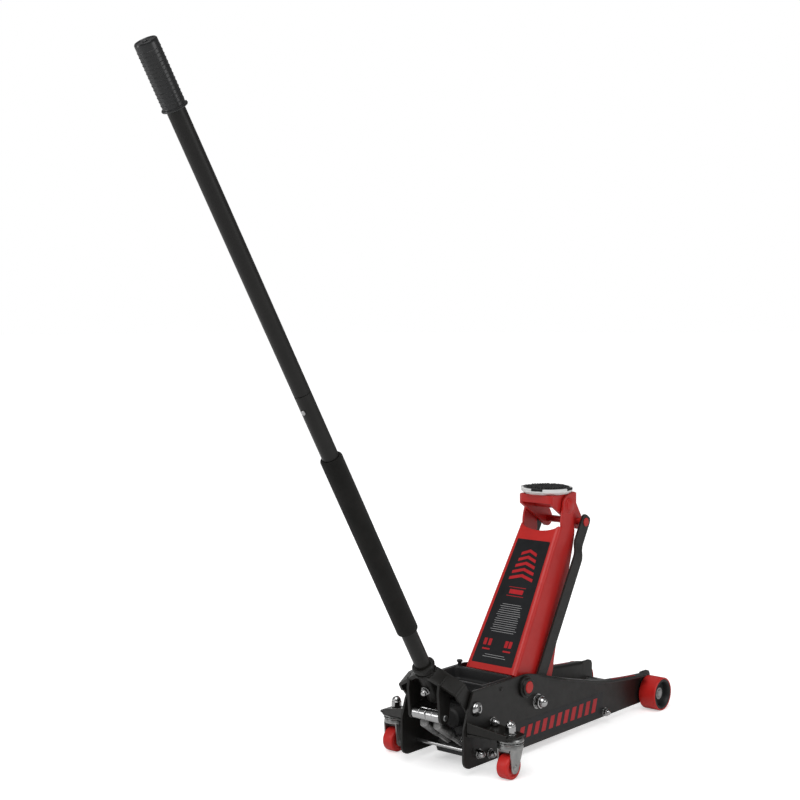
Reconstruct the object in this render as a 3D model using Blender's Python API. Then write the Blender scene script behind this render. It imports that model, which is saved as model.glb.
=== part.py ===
"""Trolley jack, 3 tonne class, as separate parts.

Metres. +X points to the front wheels, +Y to the left side, +Z up. The parts are placed from the rear edge
of the side plates (X = 0), the middle plane (Y = 0) and the floor (Z = 0); the root empty then moves the
whole jack so that its box stands centred on the world origin. It stands with the arm nearly full up.
"""
import bpy
import bmesh
from math import acos, atan2, cos, degrees, hypot, pi, radians, sin
from mathutils import Matrix, Vector

# ---------------------------------------------------------------- driving dimensions
GAP = 0.0003                # clearance between faces that touch

# chassis
CLEAR_WIDTH = 0.152         # between the side plates
PLATE_T = 0.005             # side plate thickness
PLATE_LENGTH = 0.700
PLATE_BOTTOM = 0.016        # ground clearance under the plates
PLATE_TOP = 0.169           # top edge over the hydraulic unit
FLANGE_WIDTH = 0.020        # outward fold along the top of the front half
FLANGE_T = 0.0042

# handle yoke and pump
PIVOT_X, PIVOT_Z = 0.040, 0.1317
PIVOT_BOLT_R = 0.008
HANDLE_TILT = radians(31.5)         # handle leans back from the vertical
HANDLE_OFFSET = 0.011               # handle axis behind the pivot
YOKE_T = 0.006
YOKE_CLEAR = 0.002                  # yoke leg to side plate
YOKE_WIDTH = 0.034                  # along the chassis
SOCKET_TOP, SOCKET_BOTTOM = 0.113, 0.024
SOCKET_WALL, SOCKET_FIT = 0.003, 0.0004   # wall, and clearance round the tube
LIP_PROUD, LIP_H = 0.0025, 0.008
LUG_Y, LUG_T = 0.035, 0.006         # inner face of the roller lugs
ROLLER_BACK, ROLLER_UP = 0.0503, 0.0136   # roller pin from the pivot, square to and along the handle
ROLLER_R, ROLLER_PIN_R = 0.0125, 0.005
PUMP_Y = 0.017                      # each pump from the middle plane
PUMP_ANGLE = radians(34)            # pumps point forward and down
PUMP_MOUTH_X, PUMP_MOUTH_Z = 0.080, 0.043
CAP_R, CAP_WALL, CAP_LENGTH = 0.011, 0.0016, 0.068
STROKE_UP, STROKE_DOWN = radians(15), radians(40)   # how far the handle swings each way from here
PLUNGER_R = 0.005
SPRING_R, SPRING_WIRE, SPRING_TURNS = 0.0076, 0.0012, 8
SPRING_LENGTH = 0.060

# handle
TUBE_R, TUBE_WALL = 0.0161, 0.0025
TUBE_FOOT = 0.031                   # lower tube's foot above the pivot
JOINT_UP = 0.7607                   # joint of the two tubes above the pivot
SPIGOT_LENGTH = 0.060
BUTTON_DOWN, BUTTON_R, BUTTON_PROUD = 0.032, 0.005, 0.0026
FOAM_FROM, FOAM_TO, FOAM_T = 0.200, 0.619, 0.0054
GRIP_FROM, GRIP_TO, GRIP_T = 1.323, 1.4364, 0.0042
GRIP_FLANGE_PROUD, GRIP_FLANGE_T = 0.0027, 0.005

# lift arm (local a runs from shaft to saddle pivot, local n square to it, to the front face)
SHAFT_X, SHAFT_Z, SHAFT_R = 0.206, 0.1435, 0.0125
SHAFT_PROUD = 0.012                 # shaft end beyond the side plate
ARM_ANGLE = radians(59.45)
ARM_LENGTH = 0.4053
ARM_HALF_LOW, ARM_HALF_TOP = 0.0655, 0.050    # at the shaft and at the saddle pivot
ARM_T, ARM_FACE_T = 0.005, 0.004
ARM_FACE_LOW = (0.0118, 0.0244)     # front face, lower edge (a, n)
ARM_FACE_TOP = (0.351, 0.0144)      # front face, upper edge
FACE_DIP, DIP_SHARE = 0.0145, 0.92  # hollow in the upper edge: its depth, and its share of the width
EAR_R, HUB_R = 0.0245, 0.024
HEAD_PIN_R = 0.009
LEVER_LENGTH, LEVER_ANGLE = 0.058, radians(-119.45)
LEVER_PIN_R, LEVER_R = 0.008, 0.015

# parallel link
LINK_DX, LINK_DZ = 0.043, -0.0395   # link pivots from the arm pivots
LINK_T, LINK_HALF_WIDTH = 0.005, 0.0135
LINK_LOW_Y, LINK_TOP_Y = 0.0685, 0.0585   # inner faces
LINK_JOGGLE_FROM, LINK_JOGGLE_TO = 0.326, 0.352
LINK_PIN_R = 0.0075

# saddle
HEAD_LUG_T, HEAD_LUG_CLEAR = 0.0075, 0.002
HEAD_FRONT, HEAD_BACK = -0.058, 0.038
HEAD_PLATE_LOW, HEAD_PLATE_TOP = 0.008, 0.0255
SADDLE_X, SADDLE_R, SADDLE_H = -0.014, 0.0554, 0.0125
SADDLE_FLOOR, SADDLE_WALL = 0.004, 0.005
PAD_PROUD = 0.0028
STUD_R, STUD_LENGTH = 0.012, 0.0155

# hydraulic unit
UNIT_HALF = 0.044
UNIT_REAR, UNIT_FRONT, UNIT_TOP = 0.099, 0.140, 0.118
RAM_Z = 0.094
RAM_REAR, RAM_FRONT = 0.058, 0.148
RAM_R, RAM_BORE = 0.021, 0.0133
ROD_R = 0.013

# tool tray
TRAY_REAR, TRAY_FRONT = 0.072, 0.176
TRAY_BOTTOM, TRAY_TOP = 0.1425, 0.1705
TRAY_WALL = 0.0025

# tie rods and bolts through the side plates
REAR_ROD = (0.048, 0.040, 0.004)    # x, z, radius
FRONT_ROD = (0.508, 0.026, 0.005)
LINK_BOLT_R = 0.008

# front wheels
AXLE_X, AXLE_R = 0.683, 0.010
WHEEL_R, WHEEL_W = 0.0375, 0.042
WHEEL_GAP = 0.003                   # wheel to side plate
HUB_RIM_R, HUB_BOSS_R, HUB_WEB = 0.0305, 0.016, 0.012
AXLE_RECESS = 0.011                 # axle end inside the wheel's outer face

# castors
CASTOR_X, CASTOR_Y = 0.065, 0.146
CASTOR_R, CASTOR_W = 0.0249, 0.026
CASTOR_TRAIL = -0.006
CASTOR_PIN_R = 0.004
FORK_T, FORK_INSIDE = 0.003, 0.028
RACE_R, RACE_LOW, RACE_TOP = 0.027, 0.0625, 0.0735
BRACKET_LOW, BRACKET_TOP = 0.082, 0.087
BRACKET_ROOT = (0.008, 0.112)       # rear and front ends at the side plate
BRACKET_TIP = (0.038, 0.086)        # and at the outer end
BRACKET_REACH = 0.168
WEB_T, WEB_RISE, WEB_END_RISE, WEB_END_DROP = 0.005, 0.0235, 0.004, 0.003
STUD_BOLT_R = 0.006
DOME_NUT_R, DOME_NUT_H = 0.0095, 0.0315

# worked out
SOCKET_R = TUBE_R + SOCKET_FIT + SOCKET_WALL
LIP_R = SOCKET_R + LIP_PROUD
FOAM_R, GRIP_R = TUBE_R + FOAM_T, TUBE_R + GRIP_T
GRIP_FLANGE_R = GRIP_R + GRIP_FLANGE_PROUD
PLATE_IN = CLEAR_WIDTH / 2
PLATE_OUT = PLATE_IN + PLATE_T
ARM_DIR = Vector((cos(ARM_ANGLE), 0, sin(ARM_ANGLE)))
SHAFT = Vector((SHAFT_X, 0, SHAFT_Z))
TIP = SHAFT + ARM_LENGTH * ARM_DIR
LINK_OFFSET = Vector((LINK_DX, 0, LINK_DZ))
PUMP_DIR = Vector((cos(PUMP_ANGLE), 0, -sin(PUMP_ANGLE)))
PUMP_MOUTH = Vector((PUMP_MOUTH_X, 0, PUMP_MOUTH_Z))
LEVER = (LEVER_LENGTH * cos(LEVER_ANGLE), LEVER_LENGTH * sin(LEVER_ANGLE))


def roller_reach(swing):
    """Distance, back along a pump's axis from its mouth, to the roller's pressing side."""
    lean = HANDLE_TILT + swing
    x = PIVOT_X - ROLLER_BACK * cos(lean) - ROLLER_UP * sin(lean)
    z = PIVOT_Z - ROLLER_BACK * sin(lean) + ROLLER_UP * cos(lean)
    return (PUMP_MOUTH - Vector((x, 0, z))).dot(PUMP_DIR) - ROLLER_R


# the caps move in step with the handle, and just clear the rollers at both ends of the swing
PUMP_RATE = (roller_reach(-STROKE_UP) - roller_reach(STROKE_DOWN)) / (STROKE_UP + STROKE_DOWN)
CAP_REACH = roller_reach(-STROKE_UP) - PUMP_RATE * STROKE_UP - GAP
WHEEL_IN = PLATE_OUT + WHEEL_GAP
WHEEL_OUT = WHEEL_IN + WHEEL_W
ROUND = 16                          # sides of a small round part
ROUND_BIG = 24

# ---------------------------------------------------------------- materials
FINISHES = {
    "black_paint": ((0.018, 0.017, 0.016), 0.42, 0.0),
    "red_paint": ((0.50, 0.020, 0.022), 0.32, 0.0),
    "chrome": ((0.62, 0.62, 0.62), 0.12, 1.0),
    "steel": ((0.40, 0.40, 0.40), 0.30, 1.0),
    "zinc": ((0.52, 0.53, 0.54), 0.38, 1.0),
    "red_tread": ((0.52, 0.022, 0.020), 0.45, 0.0),
    "white_ring": ((0.78, 0.78, 0.77), 0.40, 0.0),
    "rubber": ((0.020, 0.020, 0.020), 0.80, 0.0),
    "foam": ((0.016, 0.016, 0.015), 0.92, 0.0),
    "black_plastic": ((0.022, 0.022, 0.023), 0.50, 0.0),
    "cast_iron": ((0.10, 0.10, 0.10), 0.60, 0.8),
}


def finish(name):
    material = bpy.data.materials.get(name)
    if material is None:
        colour, roughness, metallic = FINISHES[name]
        material = bpy.data.materials.new(name)
        material.use_nodes = True
        shader = material.node_tree.nodes["Principled BSDF"]
        shader.inputs["Base Color"].default_value = (*colour, 1)
        shader.inputs["Roughness"].default_value = roughness
        shader.inputs["Metallic"].default_value = metallic
        material.diffuse_color = (*colour, 1)
    return material


# ---------------------------------------------------------------- outlines
def arc(centre, radius, start, end, steps=8):
    """Points on a circle, angles in degrees, both ends included."""
    angles = [radians(start + (end - start) * i / steps) for i in range(steps + 1)]
    return [(centre[0] + radius * cos(a), centre[1] + radius * sin(a)) for a in angles]


def rounded(corners, steps=5):
    """Closed outline from corners (x, y, radius): each corner becomes an arc tangent to its sides."""
    outline = []
    for i, (x, y, radius) in enumerate(corners):
        here = Vector((x, y))
        before = (Vector(corners[i - 1][:2]) - here).normalized()
        after = (Vector(corners[(i + 1) % len(corners)][:2]) - here).normalized()
        half = acos(max(-1, min(1, before.dot(after)))) / 2
        if radius == 0 or half > radians(89.5):
            outline.append((x, y))
            continue
        centre = here + (before + after).normalized() * radius / sin(half)
        first = here + before * radius / (sin(half) / cos(half)) - centre
        last = here + after * radius / (sin(half) / cos(half)) - centre
        sweep = (atan2(last.y, last.x) - atan2(first.y, first.x) + pi) % (2 * pi) - pi
        start = degrees(atan2(first.y, first.x))
        outline += arc(centre, radius, start, start + degrees(sweep), steps)
    return outline


def hull_of_circles(first, first_r, second, second_r, steps=10):
    """Outline round two circles: a bar with round ends."""
    dx, dy = second[0] - first[0], second[1] - first[1]
    along = degrees(atan2(dy, dx))
    lean = degrees(acos((first_r - second_r) / hypot(dx, dy)))
    return (arc(second, second_r, along - lean, along + lean, steps)
            + arc(first, first_r, along + lean, along + 360 - lean, steps))


# ---------------------------------------------------------------- solids
def outward(solid):
    """Turn every face outwards."""
    bmesh.ops.recalc_face_normals(solid, faces=solid.faces)
    if solid.calc_volume(signed=True) < 0:
        bmesh.ops.reverse_faces(solid, faces=solid.faces)
    return solid


def prism(outline, axis, low, high):
    """Closed outline pushed along an axis. Outline is (x, z) for Y, (x, y) for Z and (y, z) for X."""
    place = {"X": lambda p, t: (t, p[0], p[1]),
             "Y": lambda p, t: (p[0], t, p[1]),
             "Z": lambda p, t: (p[0], p[1], t)}[axis]
    solid = bmesh.new()
    face = solid.faces.new([solid.verts.new(place(p, low)) for p in outline])
    pushed = bmesh.ops.extrude_face_region(solid, geom=[face])
    shift = Vector(place((0, 0), high - low))
    moved = [v for v in pushed["geom"] if isinstance(v, bmesh.types.BMVert)]
    bmesh.ops.translate(solid, verts=moved, vec=shift)
    return outward(solid)


def turned(profile, steps=ROUND, at=(0, 0, 0), along=(0, 0, 1), ring=False):
    """Profile of (radius, height) turned about an axis. A ring profile closes on itself."""
    solid = bmesh.new()
    verts = [solid.verts.new((r, 0, h)) for r, h in profile]
    edges = [solid.edges.new(pair) for pair in zip(verts, verts[1:])]
    if ring:
        edges.append(solid.edges.new((verts[-1], verts[0])))
    bmesh.ops.spin(solid, geom=verts + edges, axis=(0, 0, 1), cent=(0, 0, 0), angle=2 * pi, steps=steps,
                   use_merge=True)
    bmesh.ops.remove_doubles(solid, verts=solid.verts, dist=1e-6)
    outward(solid)
    turn = Vector((0, 0, 1)).rotation_difference(Vector(along)).to_matrix().to_4x4()
    bmesh.ops.transform(solid, matrix=Matrix.Translation(at) @ turn, verts=solid.verts)
    return solid


def rod(radius, low, high, **place):
    return turned([(0, low), (radius, low), (radius, high), (0, high)], **place)


def tube(inner, outer, low, high, **place):
    return turned([(inner, low), (outer, low), (outer, high), (inner, high)], ring=True, **place)


def helix(radius, wire, length, turns, at, along, steps=8, sides=4):
    """Open coil spring: a round wire swept up a helix, with capped ends."""
    solid = bmesh.new()
    rings = []
    for i in range(turns * steps + 1):
        angle = 2 * pi * i / steps
        height = wire + (length - 2 * wire) * i / (turns * steps)
        centre = Vector((radius * cos(angle), radius * sin(angle), height))
        out = Vector((cos(angle), sin(angle), 0))
        ring = [solid.verts.new(centre + wire * (out * cos(t) + Vector((0, 0, 1)) * sin(t)))
                for t in (2 * pi * k / sides for k in range(sides))]
        rings.append(ring)
    for low, high in zip(rings, rings[1:]):
        for k in range(sides):
            solid.faces.new((low[k], low[(k + 1) % sides], high[(k + 1) % sides], high[k]))
    solid.faces.new(rings[0])
    solid.faces.new(rings[-1])
    outward(solid)
    turn = Vector((0, 0, 1)).rotation_difference(Vector(along)).to_matrix().to_4x4()
    bmesh.ops.transform(solid, matrix=Matrix.Translation(at) @ turn, verts=solid.verts)
    return solid


# ---------------------------------------------------------------- objects
def frame_empty(name, parent=None, location=(0, 0, 0), tilt=0.0):
    """A local frame. Tilt turns it about Y, from +Z towards -X."""
    empty = bpy.data.objects.new(name, None)
    bpy.context.collection.objects.link(empty)
    empty.parent = parent
    empty.location = location
    empty.rotation_euler = (0, -tilt, 0)
    return empty


def part(name, solid, material, parent, origin=(0, 0, 0)):
    """Named object whose origin is given in its parent's frame, as is the solid."""
    bmesh.ops.translate(solid, verts=solid.verts, vec=-Vector(origin))
    mesh = bpy.data.meshes.new(name)
    solid.to_mesh(mesh)
    solid.free()
    for polygon in mesh.polygons:
        polygon.use_smooth = True
    mesh.set_sharp_from_angle(angle=radians(35))
    if material:
        mesh.materials.append(finish(material))
    item = bpy.data.objects.new(name, mesh)
    bpy.context.collection.objects.link(item)
    item.parent = parent
    item.location = origin
    return item


def combine(item, solid, operation):
    """Boolean with a hidden tool whose shape is given in the same frame as the item's."""
    tool = part(f"{item.name}_{operation.lower()}_tool", solid, None, item.parent)
    tool.hide_render = True
    tool.display_type = "WIRE"
    modifier = item.modifiers.new(operation.title(), "BOOLEAN")
    modifier.operation = operation
    modifier.solver = "EXACT"
    modifier.object = tool
    return item


def cut(item, *solids):
    for solid in solids:
        combine(item, solid, "DIFFERENCE")
    return item


def add(item, *solids):
    for solid in solids:
        combine(item, solid, "UNION")
    return item


def across(radius, x, z, low, high, steps=ROUND):
    """Round bar or hole along Y."""
    return rod(radius, low, high, steps=steps, at=(x, 0, z), along=(0, 1, 0))


SIDES = {"left": 1, "right": -1}

# ---------------------------------------------------------------- scene and frames
for old in list(bpy.data.objects):
    bpy.data.objects.remove(old)

JACK = frame_empty("car_jack")
ARM = frame_empty("arm_frame", JACK, SHAFT)
ARM.rotation_euler = (0, -ARM_ANGLE, 0)
LINK = frame_empty("link_frame", JACK, SHAFT + LINK_OFFSET)
LINK.rotation_euler = (0, -ARM_ANGLE, 0)
HANDLE = frame_empty("handle_frame", JACK, (PIVOT_X, 0, PIVOT_Z), HANDLE_TILT)
HEAD = frame_empty("head_frame", JACK, TIP)


# ---------------------------------------------------------------- side plates
def plate_top(x):
    """Height of the plate's top edge in front of the lift shaft."""
    points = [(0.222, PLATE_TOP), (0.290, PLATE_TOP - 0.019), (0.376, PLATE_TOP - 0.042),
              (0.462, PLATE_TOP - 0.061), (0.530, PLATE_TOP - 0.0715), (0.594, PLATE_TOP - 0.079),
              (0.655, PLATE_TOP - 0.0845)]
    for (x0, z0), (x1, z1) in zip(points, points[1:]):
        if x <= x1:
            return z0 + (z1 - z0) * (x - x0) / (x1 - x0)
    return points[-1][1]


FLANGE_STATIONS = [0.262, 0.290, 0.330, 0.376, 0.420, 0.462, 0.496, 0.530, 0.562, 0.594, 0.655]


def flange(side):
    """Outward fold: a strip that follows the top edge and widens from nothing."""
    solid = bmesh.new()
    sections = []
    for x in FLANGE_STATIONS:
        width = FLANGE_WIDTH * min(1, 0.15 + (x - FLANGE_STATIONS[0]) / 0.070)
        top = plate_top(x) - 0.0002
        inner, outer = PLATE_IN + PLATE_T / 2, PLATE_OUT + width
        sections.append([solid.verts.new((x, side * y, z)) for y, z in
                         ((inner, top), (outer, top), (outer, top - FLANGE_T), (inner, top - FLANGE_T))])
    for low, high in zip(sections, sections[1:]):
        for k in range(4):
            solid.faces.new((low[k], low[(k + 1) % 4], high[(k + 1) % 4], high[k]))
    solid.faces.new(sections[0])
    solid.faces.new(sections[-1])
    return outward(solid)


def side_plate(name, side):
    tab_top = plate_top(0.655) + 0.002
    corners = [(0.0, PLATE_BOTTOM, 0.020), (PLATE_LENGTH, PLATE_BOTTOM, 0.018),
               (PLATE_LENGTH, tab_top, 0.010), (0.655, plate_top(0.655), 0)]
    corners += [(x, plate_top(x), 0) for x in (0.594, 0.530, 0.462, 0.376, 0.290)]
    corners += [(0.222, PLATE_TOP, 0.020), (0.031, PLATE_TOP, 0.002), (PIVOT_X - 0.030, PIVOT_Z + 0.014, 0.020),
                (0.0, PIVOT_Z - 0.020, 0.020)]
    low, high = sorted((side * PLATE_IN, side * PLATE_OUT))
    plate = part(name, prism(rounded(corners), "Y", low, high), "black_paint", JACK)
    add(plate, flange(side))
    link = SHAFT + LINK_OFFSET
    holes = [(PIVOT_BOLT_R, PIVOT_X, PIVOT_Z), (SHAFT_R, SHAFT_X, SHAFT_Z), (LINK_BOLT_R, link.x, link.z),
             (AXLE_R, AXLE_X, WHEEL_R), (REAR_ROD[2], REAR_ROD[0], REAR_ROD[1]),
             (FRONT_ROD[2], FRONT_ROD[0], FRONT_ROD[1])]
    for radius, x, z in holes:
        cut(plate, across(radius + GAP, x, z, low - 0.002, high + 0.002))


def shaft_boss(name, side):
    base, step, face = PLATE_OUT + GAP, PLATE_OUT + 0.006, PLATE_OUT + SHAFT_PROUD - 0.0015
    bore = SHAFT_R + GAP
    profile = [(bore, base), (0.0225, base), (0.0225, step), (0.0185, face - 0.002), (0.0175, face), (bore, face)]
    part(name, turned(profile, ROUND, (SHAFT_X, 0, SHAFT_Z), (0, side, 0), ring=True), "black_paint", JACK)


# ---------------------------------------------------------------- bolts and tie rods
def dome(radius, low, height, steps=3):
    """Profile of a domed nut: a collar, then a quarter round."""
    collar = low + height - radius
    return [(radius, low)] + [(p[0], p[1] + collar) for p in arc((0, 0), radius, 0, 90, steps)]


def pivot_bolt(name, side):
    """Handle pivot: round button head outside, plain shank in plate and yoke leg."""
    inner = PLATE_IN - YOKE_CLEAR - YOKE_T - 0.002
    head = PLATE_OUT + GAP
    profile = [(0, inner), (PIVOT_BOLT_R, inner), (PIVOT_BOLT_R, head), (0.0146, head), (0.0146, head + 0.003),
               (0.0115, head + 0.0075), (0.006, head + 0.009), (0, head + 0.009)]
    part(name, turned(profile, ROUND, (PIVOT_X, 0, PIVOT_Z), (0, side, 0)), "chrome", JACK)


def link_bolt(name, side):
    """Lower pivot of a link bar, with its large domed nut outside the plate."""
    link = SHAFT + LINK_OFFSET
    inner, seat = LINK_LOW_Y + GAP, PLATE_OUT + GAP
    profile = [(0, inner), (LINK_BOLT_R, inner), (LINK_BOLT_R, seat), (0.015, seat), (0.015, seat + 0.0025), (0.0125, seat + 0.0025)]
    profile += dome(0.0125, seat + 0.0025, 0.022)
    profile[-1] = (0, profile[-1][1])
    part(name, turned(profile, ROUND, (link.x, 0, link.z), (0, side, 0)), "chrome", JACK)


def tie_rod(name, spec, body_r, nut_r, nut_h):
    """Spacer between the plates, its thinner ends passing through them into domed nuts."""
    x, z, end_r = spec
    inner, seat = PLATE_IN - GAP, PLATE_OUT + GAP
    half = [(0, 0), (body_r, 0), (body_r, inner), (end_r, inner), (end_r, seat), (nut_r, seat)]
    half += dome(nut_r, seat, nut_h)[1:]
    half[-1] = (0, half[-1][1])
    mirrored = [(r, -y) for r, y in reversed(half[1:])]
    part(name, turned(mirrored + half[2:], 16, (x, 0, z), (0, 1, 0)), "chrome", JACK)


# ---------------------------------------------------------------- front wheels
def front_axle():
    end = WHEEL_OUT - AXLE_RECESS
    profile = [(0, -end), (AXLE_R - 0.0015, -end), (AXLE_R, -end + 0.0015), (AXLE_R, end - 0.0015),
               (AXLE_R - 0.0015, end), (0, end)]
    part("front_axle", turned(profile, ROUND, (AXLE_X, 0, WHEEL_R), (0, 1, 0)), "steel", JACK)


def front_wheel(word, side):
    at, along = (AXLE_X, 0, WHEEL_R), (0, side, 0)
    low, high, edge = WHEEL_IN, WHEEL_OUT, 0.0025
    tread = [(HUB_RIM_R, low), (WHEEL_R - edge, low), (WHEEL_R, low + edge), (WHEEL_R, high - edge),
             (WHEEL_R - edge, high), (HUB_RIM_R, high)]
    part(f"front_wheel_tread_{word}", turned(tread, ROUND_BIG, at, along, ring=True), "red_tread", JACK, at)
    rim, bore, inside = HUB_RIM_R - GAP, AXLE_R + GAP, HUB_RIM_R - 0.0045
    middle = (low + high) / 2
    web_low, web_high = middle - HUB_WEB / 2, middle + HUB_WEB / 2
    hub = [(bore, low + 0.001), (HUB_BOSS_R, low + 0.001), (HUB_BOSS_R, web_low), (inside, web_low),
           (inside + 0.001, low + 0.0005), (rim, low + 0.0005), (rim, high - 0.0005), (inside + 0.001, high - 0.0005),
           (inside, web_high), (HUB_BOSS_R, web_high), (HUB_BOSS_R - 0.001, high - AXLE_RECESS - 0.003),
           (bore, high - AXLE_RECESS - 0.003)]
    part(f"front_wheel_hub_{word}", turned(hub, ROUND_BIG, at, along, ring=True), "black_plastic", JACK, at)


# ---------------------------------------------------------------- castors
def castor_bracket(word, side):
    """Level wing plate with a taller web folded along its rear edge."""
    root = PLATE_OUT + GAP
    wing = [(BRACKET_ROOT[0], root, 0), (BRACKET_ROOT[1], root, 0), (BRACKET_TIP[1], BRACKET_REACH, 0.010),
            (BRACKET_TIP[0], BRACKET_REACH, 0.003)]
    wing = [(x, side * y, r) for x, y, r in wing]
    shape = prism(rounded(wing), "Z", BRACKET_LOW, BRACKET_TOP)
    bracket = part(f"castor_bracket_{word}", shape, "black_paint", JACK)
    web = bmesh.new()
    tip = BRACKET_REACH - 0.010
    tip_x = BRACKET_ROOT[0] + (BRACKET_TIP[0] - BRACKET_ROOT[0]) * (tip - root) / (BRACKET_REACH - root)
    web_t = WEB_T
    ends = [(BRACKET_ROOT[0] - 0.0002, root, BRACKET_LOW + 0.008, BRACKET_TOP + WEB_RISE),
            (tip_x - 0.0002, tip, BRACKET_LOW - WEB_END_DROP, BRACKET_TOP + WEB_END_RISE)]
    rings = [[web.verts.new(p) for p in ((x, side * y, low), (x + web_t, side * y, low), (x + web_t, side * y, top),
                                         (x, side * y, top))] for x, y, low, top in ends]
    for k in range(4):
        web.faces.new((rings[0][k], rings[0][(k + 1) % 4], rings[1][(k + 1) % 4], rings[1][k]))
    web.faces.new(rings[0])
    web.faces.new(rings[1])
    add(bracket, outward(web))
    at = (CASTOR_X, side * CASTOR_Y, 0)
    cut(bracket, rod(STUD_BOLT_R + GAP, BRACKET_LOW - 0.01, BRACKET_TOP + 0.01, at=at))


def castor(word, side):
    centre = (CASTOR_X, side * CASTOR_Y, 0)
    stud = [(0, RACE_LOW - 0.0005), (STUD_BOLT_R, RACE_LOW - 0.0005), (STUD_BOLT_R, BRACKET_TOP + GAP),
            (0.0115, BRACKET_TOP + GAP), (0.0115, BRACKET_TOP + 0.002), (DOME_NUT_R, BRACKET_TOP + 0.002)]
    stud += dome(DOME_NUT_R, BRACKET_TOP + 0.002, DOME_NUT_H - 0.002)[1:]
    stud[-1] = (0, stud[-1][1])
    part(f"castor_stud_{word}", turned(stud, ROUND, centre), "chrome", JACK)
    upper_low = RACE_TOP - 0.004
    race = [(STUD_BOLT_R + GAP, upper_low), (RACE_R - 0.003, upper_low), (RACE_R, upper_low + 0.0015), (RACE_R, RACE_TOP),
            (0.012, RACE_TOP), (0.012, BRACKET_LOW - GAP), (STUD_BOLT_R + GAP, BRACKET_LOW - GAP)]
    part(f"castor_race_{word}", turned(race, ROUND, centre, ring=True), "zinc", JACK)

    pin = (CASTOR_X + CASTOR_TRAIL, side * CASTOR_Y, CASTOR_R)
    crown_low, crown_top = RACE_LOW - FORK_T, upper_low - GAP
    crown = [(STUD_BOLT_R + GAP, crown_low), (RACE_R - 0.004, crown_low), (RACE_R - 0.001, crown_top - 0.002),
             (RACE_R - 0.003, crown_top), (STUD_BOLT_R + GAP, crown_top)]
    fork = part(f"castor_fork_{word}", turned(crown, ROUND, centre, ring=True), "zinc", JACK, centre)
    top = crown_low + 0.0015
    leg = [(CASTOR_X - 0.016, top), (pin[0] - 0.0095, CASTOR_R + 0.003)]
    leg += arc((pin[0], CASTOR_R), 0.010, 180, 360, 8)
    leg += [(CASTOR_X + 0.016, top)]
    for turn in (-1, 1):
        near = pin[1] + turn * FORK_INSIDE / 2
        low, high = sorted((near, near + turn * FORK_T))
        add(fork, prism(leg, "Y", low, high))
    cut(fork, across(CASTOR_PIN_R + GAP, pin[0], pin[2], pin[1] - 0.03, pin[1] + 0.03))
    half = FORK_INSIDE / 2 + FORK_T
    head = half + GAP
    rivet = [(0, -head - 0.002), (0.0065, -head - 0.001), (0.0065, -head), (CASTOR_PIN_R, -head), (CASTOR_PIN_R, head),
             (0.0065, head), (0.0065, head + 0.001), (0, head + 0.002)]
    part(f"castor_axle_{word}", turned(rivet, ROUND, pin, (0, 1, 0)), "zinc", JACK)
    half = CASTOR_W / 2
    tread = [(CASTOR_PIN_R + GAP, -half), (CASTOR_R - 0.003, -half), (CASTOR_R, -half + 0.004), (CASTOR_R, half - 0.004),
             (CASTOR_R - 0.003, half), (CASTOR_PIN_R + GAP, half)]
    part(f"castor_wheel_{word}", turned(tread, ROUND_BIG, pin, (0, 1, 0), ring=True), "red_tread", JACK, pin)


# ---------------------------------------------------------------- tool tray
def tool_tray():
    half = PLATE_IN - GAP
    outer = rounded([(TRAY_REAR, -half, 0.008), (TRAY_FRONT, -half, 0.008), (TRAY_FRONT, half, 0.008), (TRAY_REAR, half, 0.008)])
    tray = part("tool_tray", prism(outer, "Z", TRAY_BOTTOM, TRAY_TOP), "black_plastic", JACK)
    wall = TRAY_WALL * 2
    inner = rounded([(TRAY_REAR + wall, -half + wall, 0.014), (TRAY_FRONT - wall, -half + wall, 0.014),
                     (TRAY_FRONT - wall, half - wall, 0.014), (TRAY_REAR + wall, half - wall, 0.014)])
    cut(tray, prism(inner, "Z", TRAY_BOTTOM + TRAY_WALL, TRAY_TOP + 0.01))


# ---------------------------------------------------------------- hydraulic unit
def on_pump(s, side=0):
    """Point at distance s into the unit along a pump's axis."""
    return PUMP_MOUTH + s * PUMP_DIR + Vector((0, side * PUMP_Y, 0))


def hydraulic_unit():
    square = Vector((sin(PUMP_ANGLE), 0, cos(PUMP_ANGLE)))
    foot, crest = PUMP_MOUTH - 0.020 * square, PUMP_MOUTH + 0.034 * square
    outline = [(foot.x, foot.z), (crest.x, crest.z), (UNIT_REAR, UNIT_TOP - 0.006), (UNIT_REAR + 0.006, UNIT_TOP),
               (UNIT_FRONT - 0.006, UNIT_TOP), (UNIT_FRONT, UNIT_TOP - 0.006), (UNIT_FRONT, PLATE_BOTTOM + 0.001),
               (foot.x + 0.004, PLATE_BOTTOM + 0.001)]
    unit = part("hydraulic_block", prism(outline, "Y", -UNIT_HALF, UNIT_HALF), "cast_iron", JACK)
    cut(unit, rod(RAM_R + GAP, UNIT_REAR - 0.02, UNIT_FRONT + 0.02, at=(0, 0, RAM_Z), along=(1, 0, 0)))
    for side in SIDES.values():
        cut(unit, rod(PLUNGER_R + GAP, -0.01, 0.036, at=on_pump(0, side), along=PUMP_DIR))
    cut(unit, rod(0.004 + GAP, -0.01, 0.016, at=on_pump(0), along=PUMP_DIR))
    barrel = [(0, RAM_REAR), (RAM_R - 0.003, RAM_REAR), (RAM_R, RAM_REAR + 0.003), (RAM_R, RAM_FRONT), (RAM_BORE, RAM_FRONT),
              (RAM_BORE, RAM_REAR + 0.005), (0, RAM_REAR + 0.005)]
    part("ram_cylinder", turned(barrel, ROUND, (0, 0, RAM_Z), (1, 0, 0)), "cast_iron", JACK)


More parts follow.
